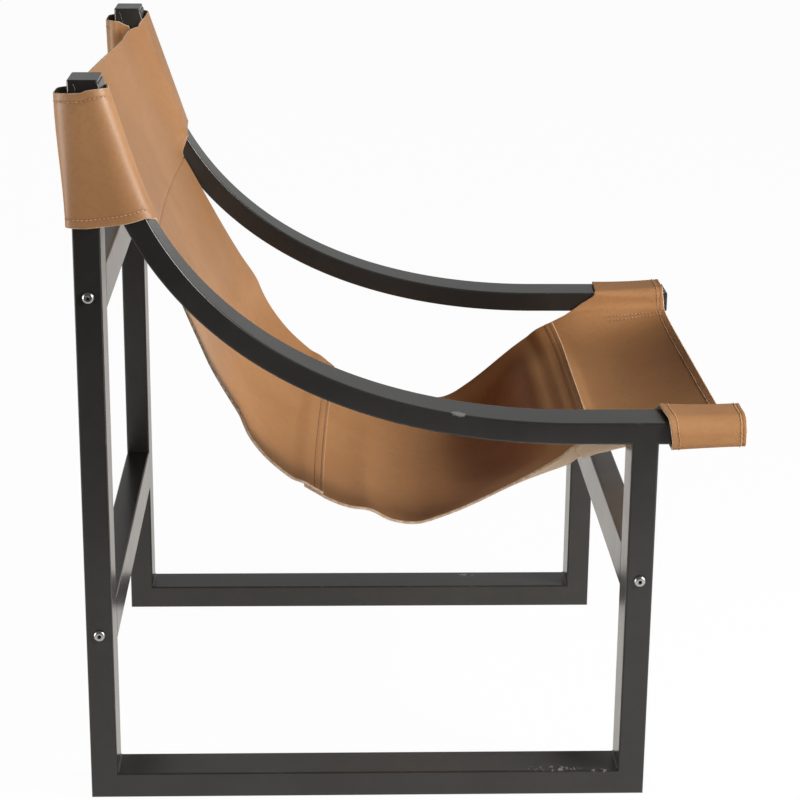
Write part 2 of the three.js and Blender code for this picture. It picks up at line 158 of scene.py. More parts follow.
def powder_coat():
    """Satin black: a faint bloom, the fine orange peel of sprayed powder, rubbed edges, one knock on an
    arm and scuffs on the floor rails."""
    material, place, shader = new_finish("black_powder_coat")
    edge = marked(place, "edge")
    bloom = rise(noise(place, 7.0, 5.0, 0.6), 0.35, 0.68)
    rubbed = rise(noise(place, 60.0, 5.0, 0.62), 0.60, 0.70) * rise(edge, 0.55, 0.95)
    streaks = rise(noise(stretched(place, 210.0, 90.0, 90.0), 1.0, 3.0, 0.6), 0.50, 0.60)
    worn = worn_spot(place, knock_at, knock_reach)
    for centre, reach in scuffs_at:
        worn = place.math("MAXIMUM", worn, worn_spot(place, centre, reach) * streaks)
    colour = blend(rubbed * 0.5, blend(bloom, coat_black, coat_bloom), coat_rubbed)
    blend(worn * 0.8, colour, coat_worn).into(shader["Base Color"])
    (0.21 + noise(place, 24.0, 3.0) * 0.08 + worn * 0.2).into(shader["Roughness"])
    bumped(noise(place, 620.0, 2.0) * 0.8 + noise(place, 90.0, 2.0) * 0.6, shader, 0.00014, 0.3)
    return material


def section(low, high, half, soft_low, soft_high, steps=4):
    """Rings of a rectangle, low to high by -half to half. Each corner is a quarter circle of its own
    radius r: corner centre + r (cos, sin) of an angle that runs once round. Shape (..., points, 2)."""
    low, high, half, soft_low, soft_high = np.broadcast_arrays(low, high, half, soft_low, soft_high)
    turn = np.radians(np.linspace(0, 90, steps + 1))
    corners = ((high, soft_high, 1, 1, 0), (low, soft_low, -1, 1, 90),
               (low, soft_low, -1, -1, 180), (high, soft_high, 1, -1, 270))
    return np.concatenate([np.stack([
        (wall - a * r)[..., None] + r[..., None] * np.cos(turn + np.radians(start)),
        (b * (half - r))[..., None] + r[..., None] * np.sin(turn + np.radians(start))], axis=-1)
        for wall, r, a, b, start in corners], axis=-2)


def carry(rings, path, across, side):
    """A profile carried along a path: path + a * across + b * side at each station."""
    across = np.broadcast_to(across, path.shape)
    return path[:, None] + rings[..., :1] * across[:, None] + rings[..., 1:] * np.asarray(side)


def tube_faces(stations, around):
    """Quads between neighbouring rings, each ring closed on itself, and one face on each end."""
    ring = np.arange(stations * around).reshape(stations, around)
    on = np.roll(ring, -1, axis=1)
    quads = np.stack([ring[:-1], on[:-1], on[1:], ring[1:]], axis=-1).reshape(-1, 4)
    return [*quads.tolist(), ring[0, ::-1].tolist(), ring[-1].tolist()]


def put_piece(name, points, faces, slot, *finishes, sharp=35.0):
    """A mesh object at the origin that rides on the chair, its faces turned out by its signed volume."""
    mesh = bpy.data.meshes.new(name)
    mesh.from_pydata(np.reshape(points, (-1, 3)), [], faces)
    form = bmesh.new()
    form.from_mesh(mesh)
    if form.calc_volume(signed=True) < 0:
        bmesh.ops.reverse_faces(form, faces=form.faces)
    form.to_mesh(mesh)
    form.free()
    mesh.shade_smooth()
    mesh.set_sharp_from_angle(angle=np.radians(sharp))
    for finish in finishes:
        mesh.materials.append(finish)
    piece = bpy.data.objects.new(name, mesh)
    bpy.context.scene.collection.objects.link(piece)
    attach(piece, "root")
    return piece


def mark(piece, name, values):
    """Gives each point of a piece a value under a name, for its material to read."""
    piece.data.attributes.new(name, "FLOAT", "POINT").data.foreach_set("value", values.astype(np.float32))


def put_tube(name, rings, slot, finish):
    """A closed tube from its rings, with the roundness of each corner kept as the attribute edge."""
    piece = put_piece(name, rings, tube_faces(*rings.shape[:2]), slot, finish)
    steps = rings.shape[1] // 4
    crown = np.tile(np.sin(np.linspace(0, np.pi, steps)), 4)
    mark(piece, "edge", np.tile(crown, rings.shape[0]))
    piece.modifiers.new("flat_walls", "WEIGHTED_NORMAL").keep_sharp = True
    return piece


def unit(vectors):
    """Vectors brought to length 1."""
    return vectors / np.linalg.norm(vectors, axis=-1, keepdims=True)


def points_of(x, y, z):
    """Points from their coordinates, each of which may be one number for all of them."""
    return np.stack(np.broadcast_arrays(x, y, z), axis=-1)


def square_to(path):
    """Directions across a path in the side plane: each run's own, turned a quarter, mitred where it
    meets the next one, (n1 + n2) / (1 + n1 . n2)."""
    run = unit(np.diff(path, axis=0))
    normal = points_of(-run[:, 2], 0.0, run[:, 0])
    first, second = np.vstack([normal[:1], normal]), np.vstack([normal, normal[-1:]])
    return (first + second) / (1 + np.sum(first * second, axis=1, keepdims=True))


sides = ((-1, "right"), (1, "left"))
tube_face, tube_half, tube_soft = 0.030, 0.02605, 0.0024
arm_face, arm_half, arm_lean = 0.025, 0.026, np.radians(15.0)
stub_height, stub_depth, plate_thick = 0.826, 0.032, 0.0042
rail_length, arm_height = 0.635, 0.451
welded_soft, cut_fade, leg_into_arm = 0.0004, 0.006, 0.005
weld_size, weld_short, weld_flat = 0.0022, 0.0026, 0.75
weld_ripple, weld_pitch, weld_turn = 0.06, 0.0034, np.radians(45)

black_coat = powder_coat()


def side_frame(side, word):
    """Post, rail and leg in one run: down the post, along the floor, up to the arm."""
    tube_top = stub_height - plate_thick
    back_of_arm = stub_depth - arm_face / np.cos(arm_lean)
    cut_foot = stub_height - (tube_face - back_of_arm) / np.tan(arm_lean)
    leg_top = arm_height - arm_face + leg_into_arm
    mid = tube_face / 2
    path = np.array([(mid, 0, tube_top), (mid, 0, cut_foot), (mid, 0, cut_foot - cut_fade), (mid, 0, mid),
                     (rail_length - mid, 0, mid), (rail_length - mid, 0, leg_top)])
    across = square_to(path)
    head = back_of_arm + plate_thick * np.tan(arm_lean)
    high = np.array([head - mid] + [mid] * 5)
    soft_high = np.array([welded_soft] * 2 + [tube_soft] * 4)
    rings = section(-mid, high, tube_half, tube_soft, soft_high)
    path += (post_back, side * frame_middle, 0)
    piece = put_tube(f"side_frame_{word}", carry(rings, path, across, (0, 1, 0)), "frame", black_coat)
    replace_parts(piece, f"rear_post_{word}", f"bottom_rail_{word}", f"front_leg_{word}")


def weld_bead(side, word, x, lean, number):
    """Bead along an inside corner on the rail: an oval profile carried across the tube, its size
    r (1 + ripple) sqrt(1 - (y / half)^8), so that it thins at both ends."""
    y = np.linspace(weld_short - tube_half, tube_half - weld_short, 66)
    ripple = weld_ripple * np.sin(y * 2 * np.pi / weld_pitch)
    size = weld_size * (1 + ripple) * np.sqrt(1 - (y / tube_half) ** 8)
    turn = np.linspace(0, 2 * np.pi, 14, endpoint=False)
    ring = np.stack([np.cos(turn), np.sin(turn)], axis=-1) * size[:, None, None] * (1.0, weld_flat)
    path = points_of(x, y + side * frame_middle, tube_face)
    points = carry(ring, path, (np.cos(lean), 0, np.sin(lean)), (-np.sin(lean), 0, np.cos(lean)))
    put_piece(f"corner_weld_{word}_{number}", points, tube_faces(*points.shape[:2]), "frame", black_coat)


for side, word in sides:
    side_frame(side, word)
    weld_bead(side, word, post_back + tube_face, -weld_turn, 1)
    weld_bead(side, word, post_back + rail_length - tube_face, weld_turn, 2)


# Arms
# Each arm is a 52 by 25 mm tube bent in one long sweep from the leaning stub to a level run. Its upper
# end is welded to the slanting head of the post, and it rests on the leg. Same black powder coat.

arm_straight, arm_upper_pull, arm_lower_pull = 0.083, 0.198, 0.270
arm_level_from, arm_reach, end_plate = 0.548, 0.727, 0.0022
scribed_run, scribed_stations = 0.03, 2


def bend(start, lead, trail, end, count):
    """Cubic curve: start (1-t)^3 + 3 lead t (1-t)^2 + 3 trail t^2 (1-t) + end t^3."""
    t = np.linspace(0, 1, count)[:, None]
    start, lead, trail, end = (np.asarray(p, dtype=float) for p in (start, lead, trail, end))
    return start * (1 - t) ** 3 + 3 * lead * t * (1 - t) ** 2 + 3 * trail * t ** 2 * (1 - t) + end * t ** 3


def arm_line():
    """Centre line of an arm in its own side plane, from the stub's top to the front, and its normals."""
    lean = np.array([np.sin(arm_lean), 0, -np.cos(arm_lean)])
    top = np.array([stub_depth - arm_face / 2 / np.cos(arm_lean), 0, stub_height])
    below = top + lean * arm_straight
    level = np.array([arm_level_from, 0, arm_height - arm_face / 2])
    sweep = bend(below, below + lean * arm_upper_pull, level - (arm_lower_pull, 0, 0), level, 120)
    cut = top + lean * plate_thick / np.cos(arm_lean)
    front = np.array([arm_reach - end_plate, 0, level[2]])
    line = np.vstack([cut, cut + lean * scribed_run, sweep, front])
    across = square_to(line)
    across[0] = (1 / np.cos(arm_lean), 0, 0)
    return line, across


arm_path, arm_across = arm_line()


def arm_front_at(height, stand_off):
    """X of the arm's front face, moved out by stand_off, at a height."""
    face = arm_path + arm_across * (arm_face / 2 + stand_off)
    return np.interp(height, face[::-1, 2], face[::-1, 0])


for side, word in sides:
    welded = np.where(np.arange(len(arm_path)) < scribed_stations, welded_soft, tube_soft)
    rings = section(-arm_face / 2, arm_face / 2, arm_half, welded, tube_soft)
    placed = carry(rings, arm_path + (post_back, side * frame_middle, 0), arm_across, (0, 1, 0))
    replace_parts(put_tube(f"bent_arm_{word}", placed, "frame", black_coat), f"arm_{word}")


# Closing plates
# A 4 mm plate closes the top of each stub over the post and the arm, and a thinner one the front end
# of each arm. They are welded on, ground flush, eased round the edge and coated with the frame.

stub_ease, end_ease = 0.0014, 0.0009


def put_plate(name, node, base, way, across, wide, half, thick, eased):
    """A rounded rectangle carried from its base through the plate's thickness: full size, then drawn in
    by a quarter circle of the easing radius."""
    turn = np.radians(np.linspace(0, 90, 5))
    drawn = np.concatenate([[0], eased * (1 - np.cos(turn))])
    height = np.concatenate([[0], thick - eased + eased * np.sin(turn)])
    rings = section(drawn - wide / 2, wide / 2 - drawn, half - drawn, tube_soft, tube_soft)
    path = np.asarray(base) + height[:, None] * np.asarray(way)
    piece = put_tube(name, carry(rings, path, across, (0, 1, 0)), "frame", black_coat)
    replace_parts(piece, node)


ahead_x, up_z = (1.0, 0, 0), (0, 0, 1.0)
for side, word in sides:
    stub_base = (post_back + stub_depth / 2, side * frame_middle, stub_height - plate_thick)
    put_plate(f"stub_plate_{word}", f"stub_cap_{word}", stub_base, up_z, ahead_x,
              stub_depth, tube_half, plate_thick, stub_ease)
    end_base = (post_back + arm_reach - end_plate, side * frame_middle, arm_height - arm_face / 2)
    put_plate(f"arm_plate_{word}", f"arm_end_cap_{word}", end_base, ahead_x, up_z,
              arm_face, arm_half, end_plate, end_ease)


# Stretchers
# Three lengths of the frame tube cross between the sides: two behind, one in front. Their ends are
# plain cuts drawn up against the side frames by screws into moulded plugs.

for name in ("rear_upper_stretcher", "rear_lower_stretcher", "front_stretcher"):
    low, high = (np.asarray(corner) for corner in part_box(name))
    middle, half = (low + high) / 2, (high - low) / 2
    path = points_of(middle[0], np.array([low[1], high[1]]), middle[2])
    rings = section(np.full(2, -half[0]), half[0], half[2], tube_soft, tube_soft)
    piece = put_tube(f"{name}_tube", carry(rings, path, ahead_x, up_z), "frame", black_coat)
    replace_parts(piece, name)


# Plugs and screws
# A black moulded plug fills each stretcher end. A stainless button-head screw with a hex socket comes
# through the side frame into it, one at each end of each stretcher.

plug_black = (0.0115, 0.0115, 0.0120, 1.0)
plug_sheen = (0.0180, 0.0180, 0.0185, 1.0)
steel_bright = (0.560, 0.550, 0.530, 1.0)
steel_dull = (0.400, 0.390, 0.370, 1.0)
socket_dark = (0.050, 0.048, 0.045, 1.0)
head_radius, head_height, head_rim = 0.0065, 0.0040, 0.0009
socket_flat, socket_depth, socket_lip = 0.0040, 0.0026, 0.0004
head_points, rim_ease, dome_power = 48, 0.0003, 0.75
socket_mouth, socket_floor, socket_sizes = (0.0002, 0.0005), (1, 1.12, 1.16), (1, 0.97, 0.97, 0.5, 0.04)


def moulded_plastic():
    """Fine spark-eroded texture, with a slight bloom from the mould."""
    material, place, shader = new_finish("moulded_plug")
    blend(rise(noise(place, 40.0, 3.0), 0.4, 0.65), plug_black, plug_sheen).into(shader["Base Color"])
    (0.55 + noise(place, 150.0, 2.0) * 0.15).into(shader["Roughness"])
    bumped(noise(place, 1800.0, 2.0), shader, 0.00006, 0.4)
    return material


def stainless():
    """Turned stainless with the fine marks of forming, darker and rougher the deeper into the socket."""
    material, place, shader = new_finish("stainless_screw")
    sunk = marked(place, "sunk")
    worn = blend(rise(noise(place, 900.0, 3.0), 0.4, 0.7), steel_bright, steel_dull)
    # Darker towards the floor of the socket, by its depth.
    blend(sunk * 0.85, worn, socket_dark).into(shader["Base Color"])
    shader["Metallic"].default_value = 1.0
    (0.24 + noise(place, 700.0, 2.0) * 0.12 + sunk * 0.3).into(shader["Roughness"])
    bumped(noise(place, 2600.0, 3.0), shader, 0.00003, 0.3)
    return material


def button_head():
    """Rings round the screw's axis, seat to socket floor, each at a radius and a height. The socket's
    rings are a hexagon: radius = half the width across flats / cos(angle from the nearest flat)."""
    turn = np.linspace(0, 2 * np.pi, head_points, endpoint=False)
    from_flat = np.mod(turn + np.pi / 6, np.pi / 3) - np.pi / 6
    hexagon = socket_flat / 2 / np.cos(from_flat)
    mouth = socket_flat / 2 / np.cos(np.pi / 6) + socket_lip
    dome = np.radians(np.linspace(0, 90, 9))
    radius = mouth + (head_radius - mouth) * np.cos(dome) ** dome_power
    level = head_rim + (head_height - head_rim) * np.sin(dome)
    whole = np.array([head_radius - rim_ease, head_radius, *radius])
    radii = np.vstack([np.tile(whole[:, None], head_points),
                       hexagon * np.array(socket_sizes)[:, None]])
    levels = np.concatenate([[0, rim_ease], level, head_height - np.array(socket_mouth),
                             head_height - socket_depth * np.array(socket_floor)])
    rings = np.stack([radii * np.cos(turn), radii * np.sin(turn)], axis=-1)
    inside = np.arange(len(levels)) > len(whole)
    sunk = np.clip((head_height - levels) / socket_depth, 0, 1) * inside
    return rings, levels, np.repeat(sunk, head_points)


plug_plastic, screw_steel = moulded_plastic(), stainless()
head_rings, head_levels, head_sunk = button_head()
for name in ("rear_upper", "rear_lower", "front"):
    for side, word in sides:
        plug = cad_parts[f"{name}_plug_{word}"]
        for plug_slot in plug.material_slots:
            plug_slot.material = plug_plastic
        low, high = (np.asarray(corner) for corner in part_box(f"{name}_screw_{word}"))
        middle = (low + high) / 2
        axis = points_of(middle[0], side * (frame_middle + tube_half) + side * head_levels, middle[2])
        points = carry(head_rings, axis, ahead_x, up_z)
        screw = put_piece(f"{name}_button_screw_{word}", points, tube_faces(*points.shape[:2]), "screw",
                          screw_steel, sharp=40.0)
        mark(screw, "sunk", head_sunk)
        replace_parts(screw, f"{name}_screw_{word}")


# Upper back panel
# Vegetable-tanned hide, 3 mm thick and cut with a bare edge. At each side it turns forward and wraps the
# arm and the post in a loose sleeve, whose end lies free on their inside, a little behind the panel.

hide = 0.003
hide_light = (0.440, 0.219, 0.091, 1.0)
hide_tan = (0.372, 0.178, 0.070, 1.0)
hide_deep = (0.275, 0.115, 0.040, 1.0)
hide_pulled = (0.550, 0.305, 0.148, 1.0)
# Stitch grooves: pressed hide, darkened further with painted shade
hide_pressed_shade = (0.200, 0.075, 0.026, 1.0)
flesh_pale = (0.830, 0.630, 0.440, 1.0)
flesh_tan = (0.740, 0.530, 0.350, 1.0)
cut_pale = (0.720, 0.540, 0.380, 1.0)
cut_tan = (0.560, 0.370, 0.230, 1.0)
thread_pale = (0.640, 0.430, 0.260, 1.0)
thread_worn = (0.490, 0.285, 0.150, 1.0)
# Painted shade at the ends of each stitch, where the thread goes down into the hide
thread_hole_shade = (0.100, 0.042, 0.018, 1.0)
polish_from, polish_whole = 0.425, 0.520


def hide_face():
    """Grain side: clouded dye, fine pores and creases, paler where it is pulled round a corner, darker in
    stitch grooves (pressed hide and painted shade), with a polish that only the upper part of the sling still
    holds."""
    material, place, shader = new_finish("tan_hide_grain")
    pulled = marked(place, "pulled")
    pressed_shade = marked(place, "pressed_shade")
    cloud = rise(noise(place, 5.5, 5.0, 0.58), 0.30, 0.70)
    fleck = rise(noise(place, 210.0, 4.0, 0.6), 0.42, 0.72)
    pores = place.node("ShaderNodeTexVoronoi", {"feature": "F1"}, {"Vector": place, "Scale": 950.0})
    creases = noise(stretched(place, 1.0, 0.45, 1.0), 330.0, 4.0, 0.6)
    colour = blend(cloud, hide_light, hide_tan)
    colour = blend(fleck * 0.22, colour, hide_deep)
    colour = blend(rise(pulled, 0.0, 1.0) * 0.55, colour, hide_pulled)
    blend(pressed_shade * 0.6, colour, hide_pressed_shade).into(shader["Base Color"])
    (0.55 + noise(place, 38.0, 4.0, 0.6) * 0.16).into(shader["Roughness"])
    shader["Specular IOR Level"].default_value = 0.20
    height = place.node("ShaderNodeSeparateXYZ", {}, {"Vector": place}, out="Z")
    polish = rise(height, polish_from, polish_whole) * (0.42 + noise(place, 26.0, 3.0) * 0.30)
    polish.into(shader["Coat Weight"])
    shader["Coat Roughness"].default_value = 0.40
    bumped(rise(pores, 0.05, 0.45) * 0.5 + creases * 0.9 + noise(place, 42.0, 3.0) * 0.7,
           shader, 0.00022, 0.5)
    return material


def hide_back():
    """Flesh side: matt, fibrous and paler."""
    material, place, shader = new_finish("tan_hide_flesh")
    fibre = noise(stretched(place, 1.0, 0.35, 1.0), 260.0, 5.0, 0.65)
    cloud = noise(place, 9.0, 4.0, 0.6)
    blend(rise(fibre * 0.5 + cloud * 0.5, 0.35, 0.65), flesh_tan, flesh_pale).into(shader["Base Color"])
    (0.80 + fibre * 0.18).into(shader["Roughness"])
    bumped(fibre, shader, 0.0004, 0.6)
    return material


def hide_edge():
    """Cut edge: the pale core of the hide with the dye drawn in from both faces."""
    material, place, shader = new_finish("tan_hide_cut")
    blend(rise(noise(place, 240.0, 4.0, 0.6), 0.40, 0.62), cut_tan, cut_pale).into(shader["Base Color"])
    (0.68 + noise(place, 160.0, 3.0) * 0.2).into(shader["Roughness"])
    bumped(noise(place, 700.0, 3.0), shader, 0.0002, 0.5)
    return material


def waxed_thread():
    """Pale twisted thread, duller in places from handling, with painted shade where it goes down into its
    holes.
    """
    material, place, shader = new_finish("waxed_thread")
    hole_shade = marked(place, "hole_shade")
    twist = noise(place, 1900.0, 2.0)
    shade = blend(rise(noise(place, 30.0, 3.0), 0.35, 0.65), thread_pale, thread_worn)
    blend(hole_shade, shade, thread_hole_shade).into(shader["Base Color"])
    (0.6 + twist * 0.2).into(shader["Roughness"])
    shader["Specular IOR Level"].default_value = 0.15
    bumped(twist, shader, 0.00015, 0.5)
    return material


grain, flesh, cut, thread = hide_face(), hide_back(), hide_edge(), waxed_thread()

sling_half = 0.2441
top_height, top_dip, top_x = 0.8035, 0.0065, {-1: 0.0015, 1: 0.0182}
back_seam_height = 0.6355
arm_under = arm_height - arm_face
back_long, low_behind = 0.3564, 0.225
front_lead, front_pull = 0.03, 0.089
side_shape = {
    -1: dict(seam=0.0851, front_seam=(0.5686, 0.4122), slope=24.0, front=(0.7225, 0.4300)),
    1: dict(seam=0.0846, front_seam=(0.5728, 0.4119), slope=25.3, front=(0.7216, 0.4300)),
}
# Stations of each side edge between the back seam and the front seam, as distance from the post's back
# and height. They were measured on the photograph through the fitted camera.
hang = {
    -1: ((0.1303, 0.5253), (0.1399, 0.5024), (0.1650, 0.4561), (0.1723, 0.4435), (0.1817, 0.4205),
         (0.2512, 0.3534), (0.2962, 0.3323), (0.3187, 0.3287), (0.3415, 0.3170), (0.3753, 0.3131),
         (0.3979, 0.3202), (0.4695, 0.3537), (0.5253, 0.3856), (0.5507, 0.4023)),
    1: ((0.1577, 0.5031), (0.1785, 0.4702), (0.1848, 0.4545), (0.2174, 0.4042), (0.2520, 0.3712),
        (0.2996, 0.3345), (0.3799, 0.3090), (0.4099, 0.3066), (0.4280, 0.3082), (0.4430, 0.3148),
        (0.4560, 0.3238), (0.5500, 0.3990)),
}


def run_along(line):
    """Distance of each point of a line from its first one, along the line."""
    return np.concatenate([[0], np.cumsum(np.linalg.norm(np.diff(line, axis=0), axis=1))])


def point_on(line, run, distance):
    """Point of a line at a distance along it, run being the distances of its own points."""
    return np.stack([np.interp(distance, run, line[:, k]) for k in range(3)], axis=-1)


def index_of(value, places):
    """Fractional index of a value among rising places."""
    return np.interp(value, places, np.arange(len(places)))


def through(stations, count):
    """Smooth curve through stations: cubic pieces over the chord length, the tangent at each station
    taken from its two neighbours."""
    stations = np.asarray(stations)
    run = run_along(stations)
    tangent = np.gradient(stations, run, axis=0)
    place = np.linspace(0, run[-1], count)
    k = np.clip(np.searchsorted(run, place, side="right") - 1, 0, len(run) - 2)
    long = (run[k + 1] - run[k])[:, None]
    t = (place - run[k])[:, None] / long
    return (stations[k] * (1 + 2 * t) * (1 - t) ** 2 + tangent[k] * long * t * (1 - t) ** 2
            + stations[k + 1] * t ** 2 * (3 - 2 * t) - tangent[k + 1] * long * t ** 2 * (1 - t))


def side_line(side):
    """Side edge of the sling in the side plane, top to front: straight down the upper back, a curve
    through the stations of its hang to the front seam, a cubic to the front edge. Returns its points
    and their distances along it, and the distances of the back seam, the front seam and the front."""
    shape = side_shape[side]
    flat = lambda p: np.array([p[0], 0.0, p[1]])
    top, seam = flat((top_x[side], top_height)), flat((shape["seam"], back_seam_height))
    front_seam, front = flat(shape["front_seam"]), flat(shape["front"])
    slope = np.radians(shape["slope"])
    along = flat((np.cos(slope), np.sin(slope)))
    parts = [np.linspace(top, seam, 60),
             through([seam, *[flat(station) for station in hang[side]], front_seam], 900),
             bend(front_seam, front_seam + along * front_lead, front - (front_pull, 0, 0), front, 160)]
    line = np.vstack([parts[0], *[part[1:] for part in parts[1:]]])
    run = run_along(line)
    knots = np.cumsum([len(parts[0]), len(parts[1]) - 1, len(parts[2]) - 1]) - 1
    return line, run, run[knots]


lines = {side: side_line(side) for side in (-1, 1)}
knots = np.mean([lines[side][2] for side in (-1, 1)], axis=0)
to_back_seam, to_front_seam, to_front = knots
to_seat_seam = to_back_seam + back_long
seat_seam_curve, seam_curve_reach = 0.0075, 0.10
to_low = to_front_seam - low_behind
seam_level = 0.3868
lap, ramp = 0.022, 0.020


def edge_at(side, distance):
    """Point of one side edge at a mean distance from the top; each stretch keeps its own length."""
    line, run, own = lines[side]
    here = np.interp(distance, np.concatenate([[0], knots]), np.concatenate([[0], own]))
    return point_on(line, run, here)


def ease(value, low, high):
    """Smoothstep from 0 at low to 1 at high."""
    t = np.clip((value - low) / (high - low), 0, 1)
    return t * t * (3 - 2 * t)


# Each swelling of the seat: how far behind the front seam, its reach along the sling, its height.
seat_swell = ((0.058, 0.028, 0.0140), (0.132, 0.066, -0.0140))
front_sag, front_over = 0.0115, 0.001
bow_top, bow_seam, bow_foot, bow_front = 0.0158, 0.0095, 0.0115, 0.0043
top_lean, near_square, far_square = 0.92, 30, 5
swell_near, swell_far, front_turn = (0.20, 0.82), (0.60, 0.98), 0.25


def swell_across(across):
    """Share of the swelling across the sling: whole about the middle, nothing at the side edges."""
    return (1 - ease(across, *swell_far)) * (1 - ease(-across, *swell_near))


def sling_at(distance, across):
    """Middle surface of the sling. The two side edges are joined straight across, and the join dips
    away from the sitter by bow * (1 - |v|^power) * (1 - lean v). Before the front seam the hide swells
    up in a hump, behind it lies a hollow, and past the seam the middle sags and the margins turn up."""
    distance, across = np.broadcast_arrays(distance, across)
    about_seam = np.exp(-((distance - to_seat_seam) / seam_curve_reach) ** 2)
    distance = distance - seat_seam_curve * across ** 2 * about_seam
    near, far = edge_at(-1, distance), edge_at(1, distance)
    share = ((across + 1) / 2)[..., None]
    base = near * (1 - share) + far * share
    step = 0.002
    mean = lambda d: (edge_at(-1, d) + edge_at(1, d)) / 2
    tangent = unit(mean(distance + step) - mean(distance - step))
    away = points_of(tangent[..., 2], 0.0, -tangent[..., 0])
    bow = bow_top + (bow_seam - bow_top) * ease(distance, 0, to_back_seam)
    bow = bow + bow_foot * ease(distance, to_back_seam, to_seat_seam)
    bow = bow + bow_front * ease(distance, to_low, to_front_seam)
    lean = top_lean * (1 - ease(distance, 0, to_back_seam))
    rising = np.clip((distance - to_low) / (to_front_seam - to_low), 0, 1)
    squarer = np.where(across < 0, near_square * rising ** 5, far_square * rising ** 4)
    power = 2 + ease(distance, to_seat_seam, to_low) + squarer
    along = np.clip((distance - to_front_seam) / (to_front - to_front_seam), 0, 1)
    level = seam_level + (arm_under + front_over - seam_level) * along
    front_dip = base[..., 2] - level
    dip = np.where(distance > to_front_seam, front_dip, bow)
    way = np.where((distance > to_front_seam)[..., None],
                   away + (np.array([0.0, 0.0, -1.0]) - away) * ease(along, 0, front_turn)[..., None], away)
    depth = dip * (1 - np.abs(across) ** power) * (1 - lean * across)
    before = to_front_seam - distance
    for place, width, height in seat_swell:
        depth = depth - height * np.exp(-((before - place) / width) ** 2) * swell_across(across)
    depth = depth + front_sag * 4 * along * (1 - along) * (1 - across ** 2)
    point = base + way * depth[..., None]
    point[..., 0] += post_back
    point[..., 1] = across * sling_half
    return point


def spaced(*stops):
    """Rows or columns between stops, given in turn as place, spacing to the next stop, place, ..."""
    places, gaps = stops[::2], stops[1::2]
    parts = [np.linspace(a, b, max(int(np.ceil((b - a) / g)), 1) + 1)[:-1]
             for a, b, g in zip(places[:-1], places[1:], gaps)]
    return np.concatenate([*parts, places[-1:]])


def sheet_layers(middle, lift):
    """Middle surface of a hide lifted off its first place, middle + normal * lift, and its normals."""
    normal = unit(np.cross(np.gradient(middle, axis=0), np.gradient(middle, axis=1)))
    return middle + normal * lift[..., None], normal


def rim_order(rows, columns):
    """Point numbers once round the border of a grid."""
    grid = np.arange(rows * columns).reshape(rows, columns)
    return np.concatenate([grid[:-1, 0], grid[-1, :-1], grid[:0:-1, -1], grid[0, :0:-1]])


edge_rings, edge_round, crown_whole = 5, 0.55, 0.0006


def put_hide(name, middle, lift, pressed_shade, skive=0.0):
    """A closed sheet of hide: a face grid, a back grid, and a rounded cut edge between them. The edge
    is middle + half * (normal cos a + round * outward sin a), a going from 0, the face, to pi, the back.
    Skive is the share of the thickness pared off the face."""
    rows, columns = middle.shape[:2]
    centre, normal = sheet_layers(middle, lift)
    half = (hide / 2 * (1 - skive) * np.ones((rows, columns)))[..., None]
    centre = centre - normal * (hide / 2 - half)
    face, back = centre + normal * half, centre - normal * half
    rim = rim_order(rows, columns)
    inner = np.pad(centre[1:-1, 1:-1], ((1, 1), (1, 1), (0, 0)), mode="edge")
    outward = (centre - inner).reshape(-1, 3)[rim]
    plane, thick = normal.reshape(-1, 3)[rim], half.reshape(-1, 1)[rim]
    outward = unit(outward - plane * np.sum(outward * plane, axis=1, keepdims=True))
    turn = np.radians(np.linspace(0, 180, edge_rings + 2))[1:-1, None, None]
    rounded = plane * np.cos(turn) + edge_round * outward * np.sin(turn)
    border = centre.reshape(-1, 3)[rim] + thick * rounded
    count, around = rows * columns, len(rim)
    grid = np.arange(count).reshape(rows, columns)
    quads = np.stack([grid[:-1, :-1], grid[1:, :-1], grid[1:, 1:], grid[:-1, 1:]], axis=-1).reshape(-1, 4)
    between = 2 * count + np.arange(edge_rings * around).reshape(edge_rings, around)
    loops = np.vstack([rim, between, rim + count])
    on = np.roll(loops, -1, axis=1)
    edge_quads = np.stack([loops[:-1], loops[1:], on[1:], on[:-1]], axis=-1).reshape(-1, 4)
    faces = np.vstack([quads, quads[:, ::-1] + count, edge_quads])
    points = np.vstack([face.reshape(-1, 3), back.reshape(-1, 3), border.reshape(-1, 3)])
    piece = put_piece(name, points, faces.tolist(), "leather", grain, flesh, cut, sharp=60.0)
    kinds = np.repeat([0, 1, 2], [len(quads), len(quads), len(edge_quads)]).astype(np.int32)
    piece.data.polygons.foreach_set("material_index", kinds)
    around_mean = (np.roll(centre, 1, 0) + np.roll(centre, -1, 0) + np.roll(centre, 1, 1)
                   + np.roll(centre, -1, 1)) / 4 - centre
    crown = -np.sum(around_mean * normal, axis=-1) / crown_whole
    crown[[0, -1]], crown[:, [0, -1]] = 0, 0
    # The second mark darkens the stitch grooves: painted shade in the groove, on top of the pressed hide's
    # own darkening.
    for key, values in (("pulled", np.clip(crown, 0, 1)), ("pressed_shade", np.broadcast_to(pressed_shade, crown.shape))):
        mark(piece, key, np.concatenate([values.ravel(), np.zeros(count + edge_rings * around)]))
    return piece, face, normal


def at_index(grid, row, column):
    """Grid values at fractional rows and columns, joined straight between neighbours."""
    i = np.clip(np.floor(row).astype(int), 0, grid.shape[0] - 2)
    j = np.clip(np.floor(column).astype(int), 0, grid.shape[1] - 2)
    u, v = (row - i)[:, None], (column - j)[:, None]
    return ((grid[i, j] * (1 - v) + grid[i, j + 1] * v) * (1 - u)
            + (grid[i + 1, j] * (1 - v) + grid[i + 1, j + 1] * v) * u)


stitch_pitch, stitch_length, stitch_girth = 0.0045, 0.0035, 0.00051
stitch_rise, stitch_drop, stitch_end = 0.75, 1.3, 1.04
stitch_places = np.array([-1.0, -0.8, -0.5, 0.5, 0.8, 1.0])


